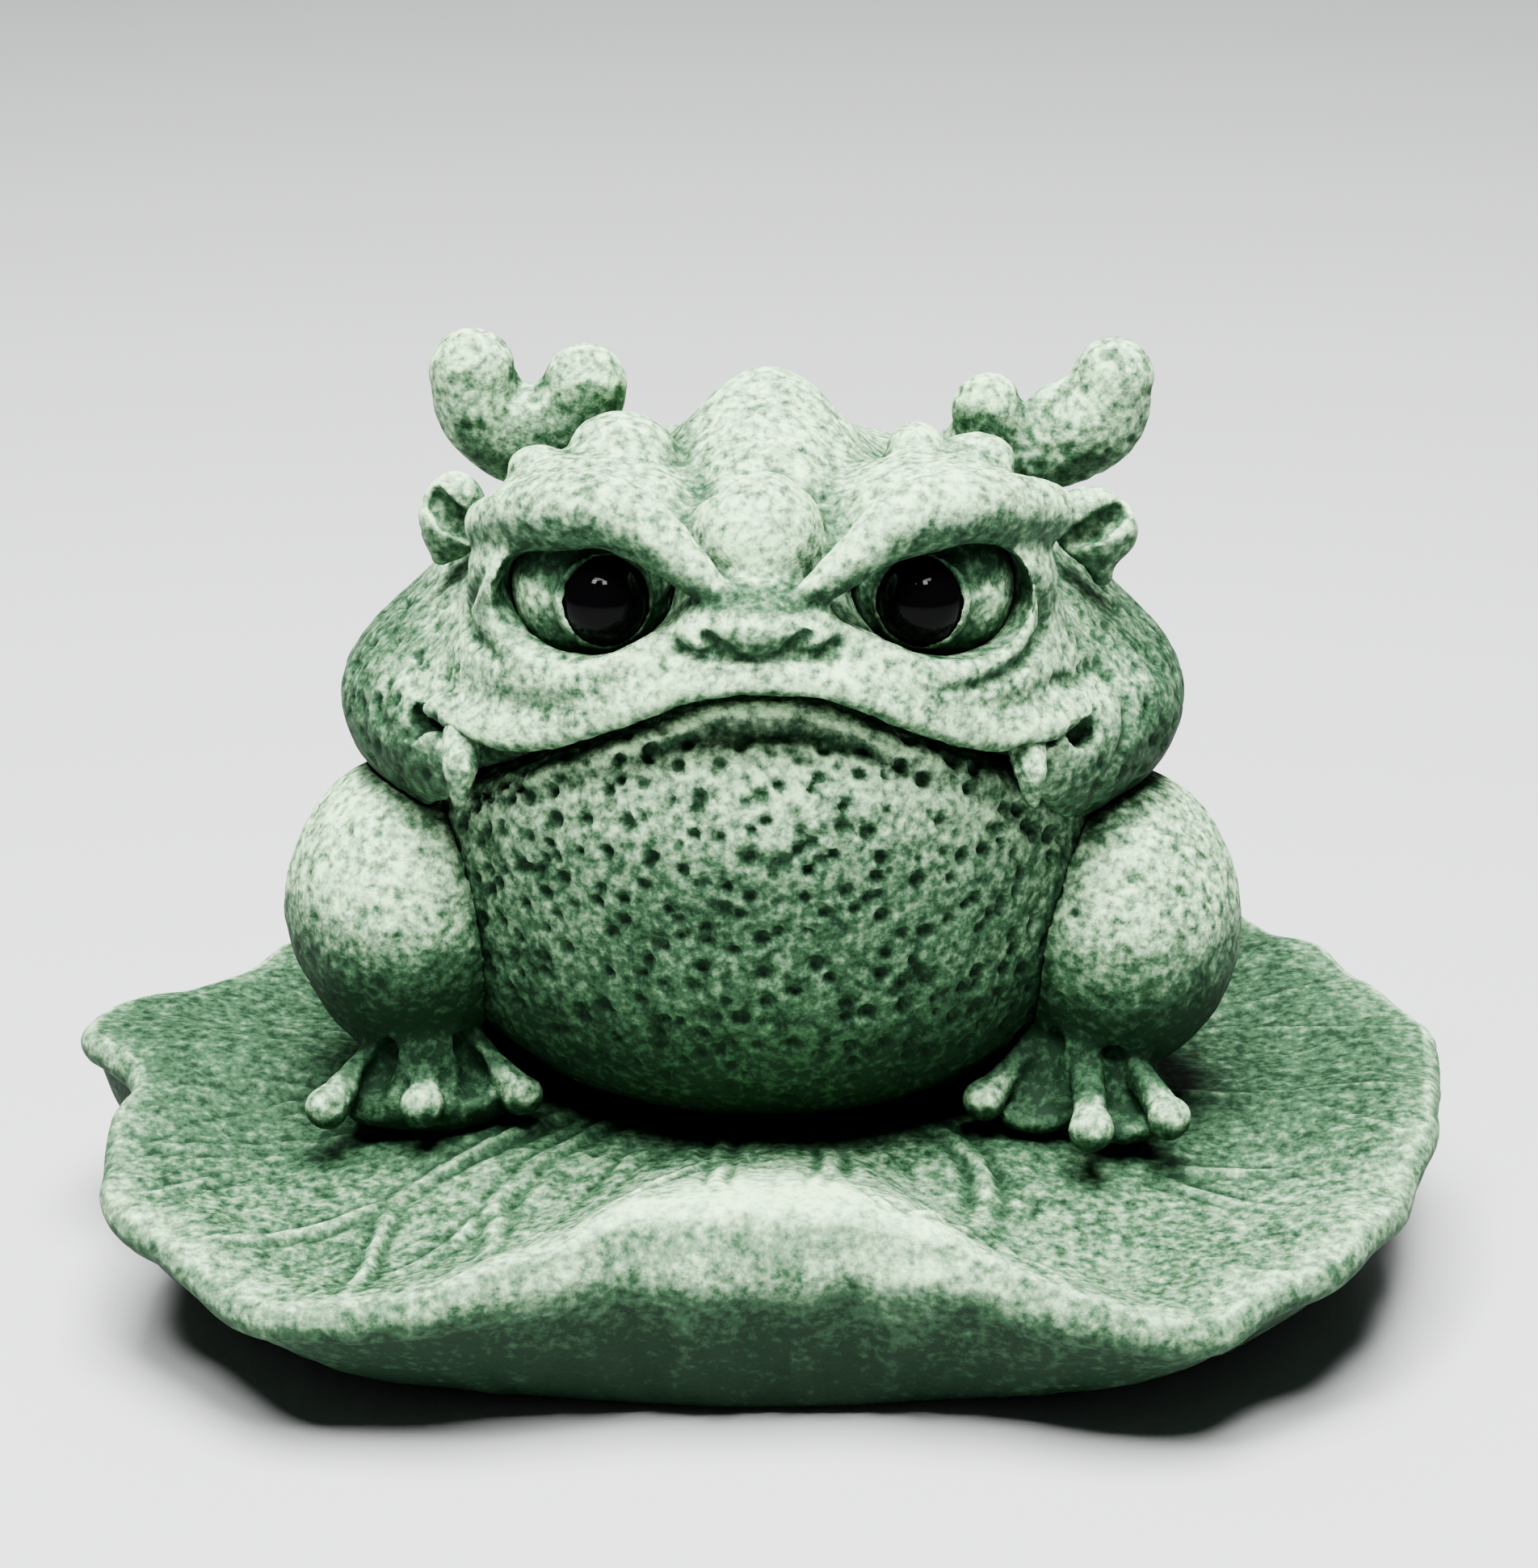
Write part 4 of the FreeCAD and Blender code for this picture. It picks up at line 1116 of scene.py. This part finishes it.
def build_leaf(whole):
    """The lotus leaf: veined upper face, thin rolled rim, fluted bowl and a flat foot."""
    around = int(560 / DETAIL) // 2 * 2
    top_rows, rim_rows, wall_rows = int(118 / DETAIL), 14, int(40 / DETAIL)
    angles = np.arange(around) * 360.0 / around
    turn = np.radians(angles)
    reach, height = rim_reach(angles), rim_height(angles)
    lobe = np.exp(-(((angles + 90 + 180) % 360 - 180) / LOBE_WIDTH) ** 2)
    thick = RIM_HALF_THICKNESS + ROLL_HALF_THICKNESS * lobe
    turnover = math.pi * (1 - 0.5 * lobe)
    cosines, sines = np.cos(turn), np.sin(turn)
    none = np.zeros(around)
    rings, wash_and_shade_rows, wear_and_highlight_rows = [], [], []

    def add_ring(r, z, wash_and_shade, worn_and_highlight):
        rings.append(np.stack([r * cosines, r * sines, z], axis=1))
        wash_and_shade_rows.append(wash_and_shade)
        wear_and_highlight_rows.append(worn_and_highlight)

    for row in range(top_rows):
        share = ((row + 1) / top_rows) ** 0.8
        r = share * (reach - thick)
        x, y = r * cosines, r * sines
        edge = rise(0.8, 1.0, share)
        z = leaf_plain_z(x, y) * (1 - edge) + height * edge
        relief, groove = leaf_veins(angles, np.full(around, share), reach)
        fade = rise(0.3, 0.42, share) * rise(1.02, 0.93, share)
        at = np.stack([angles * 0.55, np.full(around, share * 7), none], axis=1)
        wrinkle = 0.07 * noise(at, 1.0, 5) + 0.05 * noise(at * 2.3, 1.0, 6)
        z = z + (relief - 0.35 * groove + wrinkle) * fade
        # Lighter on the front lobe's roll, at the rim and on the veins: painted highlight, and wear on the veins.
        worn_and_highlight = 1.7 * lobe * rise(0.55, 0.95, share) + 0.6 * rise(0.93, 1.0, share) + 0.6 * relief * fade
        # Darker in the grooves beside the veins, washed-in paint, and painted shade away from the front edge.
        add_ring(r, z, groove * fade + 0.55 * rise(-26, -6, y), worn_and_highlight)
    for row in range(1, rim_rows + 1):
        bend = turnover * row / (rim_rows + 1)
        r = reach - thick * (1 - np.sin(bend))
        z = height - thick * (1 - np.cos(bend))
        # Painted highlight along the rim's roll, brightest on the front lobe, fading down it.
        add_ring(r, z, none, (0.6 + 1.3 * lobe) * (1 - 0.85 * row / rim_rows))
    foot = foot_reach(angles)
    wall_top = height - thick * (1 - np.cos(turnover))
    wall_reach = reach - thick * (1 - np.sin(turnover))
    for row in range(wall_rows):
        level = 1.0 - row / (wall_rows - 1)
        z = FOOT_Z + (wall_top - FOOT_Z) * level**1.25
        share = (z - FOOT_Z) / (wall_top - FOOT_Z)
        r = foot + (wall_reach - foot) * share**LEAF_FLARE
        at = np.stack([angles * 0.42, np.full(around, level * 1.6), np.full(around, 3.0)], axis=1)
        r = r + (0.30 * noise(at, 1.0, 7) + 0.16 * noise(at * 2.7, 1.0, 8)) * math.sin(math.pi * level)
        # Painted shade darker towards the foot of the wall, a little more on the front lobe below its top, and a
        # painted highlight at the top of the front lobe's wall.
        wash_and_shade = 0.1 + 1.5 * (1 - level) + 0.3 * lobe * rise(1.0, 0.7, level)
        add_ring(r, z, wash_and_shade, 0.6 * lobe * rise(0.55, 1.0, level))
    for inset, z in ((2.6, FOOT_Z), (3.0, FELT_RECESS_Z)):
        add_ring(foot - inset, np.full(around, z), none, none)
    points, quads = skin(rings, (0, 0, LEAF_SEAT_Z), (0, 0, FELT_RECESS_Z))
    wash_and_shade, ring_wear_and_highlight = (np.append(np.concatenate(values), (0, 0)) for values in (wash_and_shade_rows, wear_and_highlight_rows))
    normals, crease, shelter = hollows(points, quads, whole, int(10 / DETAIL), 0.22)
    specks = pits(points, 1.5, 0.45, 70, 0.6)
    lift = 0.12 * noise(points, 3.4, 71) + 0.05 * noise(points, 1.3, 72) - FINE_PIT_DEPTH * specks
    on_foot = points[:, 2] < FELT_RECESS_Z + 0.3
    points = points + normals * np.where(on_foot, 0, lift)[:, None]
    # Undersides get painted shade.
    under = rise(0.25, -0.4, normals[:, 2])
    # Darkening: washed-in paint in specks and creases, painted shade in sheltered places and on undersides.
    wash_and_shade = wash_and_shade + 0.3 * specks + 3.0 * np.clip(crease - 0.02, 0, 1) + shelter
    wash_and_shade = 1 - np.exp(-1.1 * (wash_and_shade + 0.9 * under))
    # Lightening on ridges: wear and painted highlight.
    worn_and_highlight = 3.5 * np.clip(-crease - 0.01, 0, 1) + ring_wear_and_highlight
    make_piece("leaf_base_stone", points, quads, LEAF_STONE, "leaf_base", wash_and_shade, worn_and_highlight)


# ---- build

BEAD_HOLE_R = 0.42
BEAD_HOLE_DEPTH = 1.8
# Share of the felt's outline and of its thickness, from the middle of its underside round to the middle of its top.
FELT_PROFILE = [
    (0.2, 0.04), (0.4, 0.04), (0.6, 0.04), (0.8, 0.04), (0.95, 0.04), (0.985, 0.05), (0.997, 0.2), (1.0, 0.5),
    (0.997, 0.8), (0.985, 0.97), (0.9, 0.98), (0.6, 0.98), (0.3, 0.98),
]


def eye_axes(word):
    """Unit vectors outwards, sideways and upwards from the middle of an eye's bead."""
    out = EYES[word] - EYEBALLS[word]
    out = out / np.linalg.norm(out)
    across = np.cross(out, (0.0, 0.0, 1.0))
    across = across / np.linalg.norm(across)
    return out, across, np.cross(across, out)


def build_beads():
    """The black glass eyes: round beads, drilled at the back for gluing."""
    for word in SIDES:
        out, across, up = eye_axes(word)
        radius = (EYE_BOXES[word][1][0] - EYE_BOXES[word][0][0]) / 2 / MM
        tips = np.linspace(0.04, math.pi - BEAD_HOLE_R / radius, 72)
        profile = [(radius * math.cos(tip), radius * math.sin(tip)) for tip in tips]
        profile += [(0.3 - radius, BEAD_HOLE_R * 0.85), (BEAD_HOLE_DEPTH - radius, BEAD_HOLE_R * 0.85)]
        turn = np.radians(np.arange(0, 360, 3.0))[:, None]
        round_it = np.cos(turn) * across + np.sin(turn) * up
        rings = [EYES[word] + along * out + wide * round_it for along, wide in profile]
        points, quads = skin(rings, EYES[word] + radius * out, EYES[word] + profile[-1][0] * out)
        make_piece(word + "_eye_bead", points, quads, GLASS, word + "_eye")


def build_felt():
    """The felt pad under the leaf's foot, soft at its edges and slightly uneven."""
    low, high = (np.array(corner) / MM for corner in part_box("base_felt"))
    turn = np.radians(np.arange(0, 360, 1.5))
    rim = np.stack([high[0] * np.cos(turn), high[1] * np.sin(turn)], axis=1)
    rings = []
    for share, height in FELT_PROFILE:
        z = low[2] + (high[2] - low[2]) * height
        flat = rim * share
        z = z + 0.03 * noise(np.column_stack([flat, np.full(len(turn), z)]), 1.2, 90) * (1 if height < 0.5 else -1)
        rings.append(np.column_stack([flat, np.clip(z, low[2], high[2])]))
    points, quads = skin(rings, (0, 0, rings[0][0, 2]), (0, 0, rings[-1][0, 2]))
    make_piece("base_felt_pad", points, quads, FELT, "base_felt")


def build_toad():
    """Sculpts every section, then meshes them."""
    torso = sculpt_torso()
    head = sculpt_head()
    fields = {"torso": torso, "head": head}
    for word in SIDES:
        fields[word + "_front_leg"] = sculpt_front_leg(word, head)
        fields[word + "_hind_leg"] = sculpt_hind_leg(word, head)
        fields[word + "_eyeball"] = sculpt_eyeball(word)
    for name in HORNS:
        fields[name] = sculpt_horn(name, head)
    for name in EARS:
        fields[name] = sculpt_ear(name, head)
    for name in FANGS:
        fields[name] = sculpt_fang(name)
    rest_on_leaf(torso)
    whole = gathered(fields.values())
    for seed, (name, field) in enumerate(sorted(fields.items()), 1):
        finish_section(name, field, whole, *TEXTURES.get(name.split("_")[-1], (0.6, 0.12)), seed)
    build_leaf(whole)


def dress_dowels():
    """The dowels, hidden in their holes, keep their CAD shape and get their steel."""
    for slot in bpy.data.objects["dowels"].material_slots:
        slot.material = STEEL


def stand(name, data, place, target):
    """A lamp or a camera at a place, with its -Z axis towards a target."""
    made = bpy.data.objects.new(name, data)
    made.location = place
    made.rotation_euler = (Vector(target) - made.location).to_track_quat("-Z", "Y").to_euler()
    bpy.context.scene.collection.objects.link(made)
    return made


def build_studio():
    """A pale floor, soft lights and the camera."""
    bpy.ops.mesh.primitive_plane_add(size=6, location=(0, 0, 0))
    floor = bpy.context.object
    floor.name = "studio_floor"
    floor.data.materials.append(pale("studio_floor", (0.47, 0.48, 0.48)))
    # Place and target in metres, side of the lamp in metres, and power in watts.
    lights = {
        "key_left": ((-0.19, -0.27, 0.55), (0, 0, 0.03), 0.10, 3.0),
        "key_right": ((0.05, -0.32, 0.55), (0, 0, 0.03), 0.10, 3.0),
        "top": ((0.0, -0.10, 0.62), (0, 0, 0.03), 0.36, 21.0),
        "back": ((0.1, 0.70, 0.55), (0, 0.25, 0.0), 0.5, 2.0),
    }
    for name, (place, target, size, power) in lights.items():
        data = bpy.data.lights.new("studio_" + name, "AREA")
        data.size = size
        data.energy = power
        stand("studio_" + name, data, place, target)
    world = bpy.data.worlds.new("studio")
    world.use_nodes = True
    background = world.node_tree.nodes["Background"].inputs
    background["Color"].default_value = (0.62, 0.65, 0.66, 1)
    background["Strength"].default_value = 0.07
    bpy.context.scene.world = world
    data = bpy.data.cameras.new("camera")
    data.lens = LENS
    data.sensor_width = 36
    data.clip_start = 0.01
    camera = stand("camera", data, VIEWPOINT * MM, AIM)
    bpy.context.scene.camera = camera


build_toad()
build_beads()
build_felt()
dress_dowels()
build_studio()
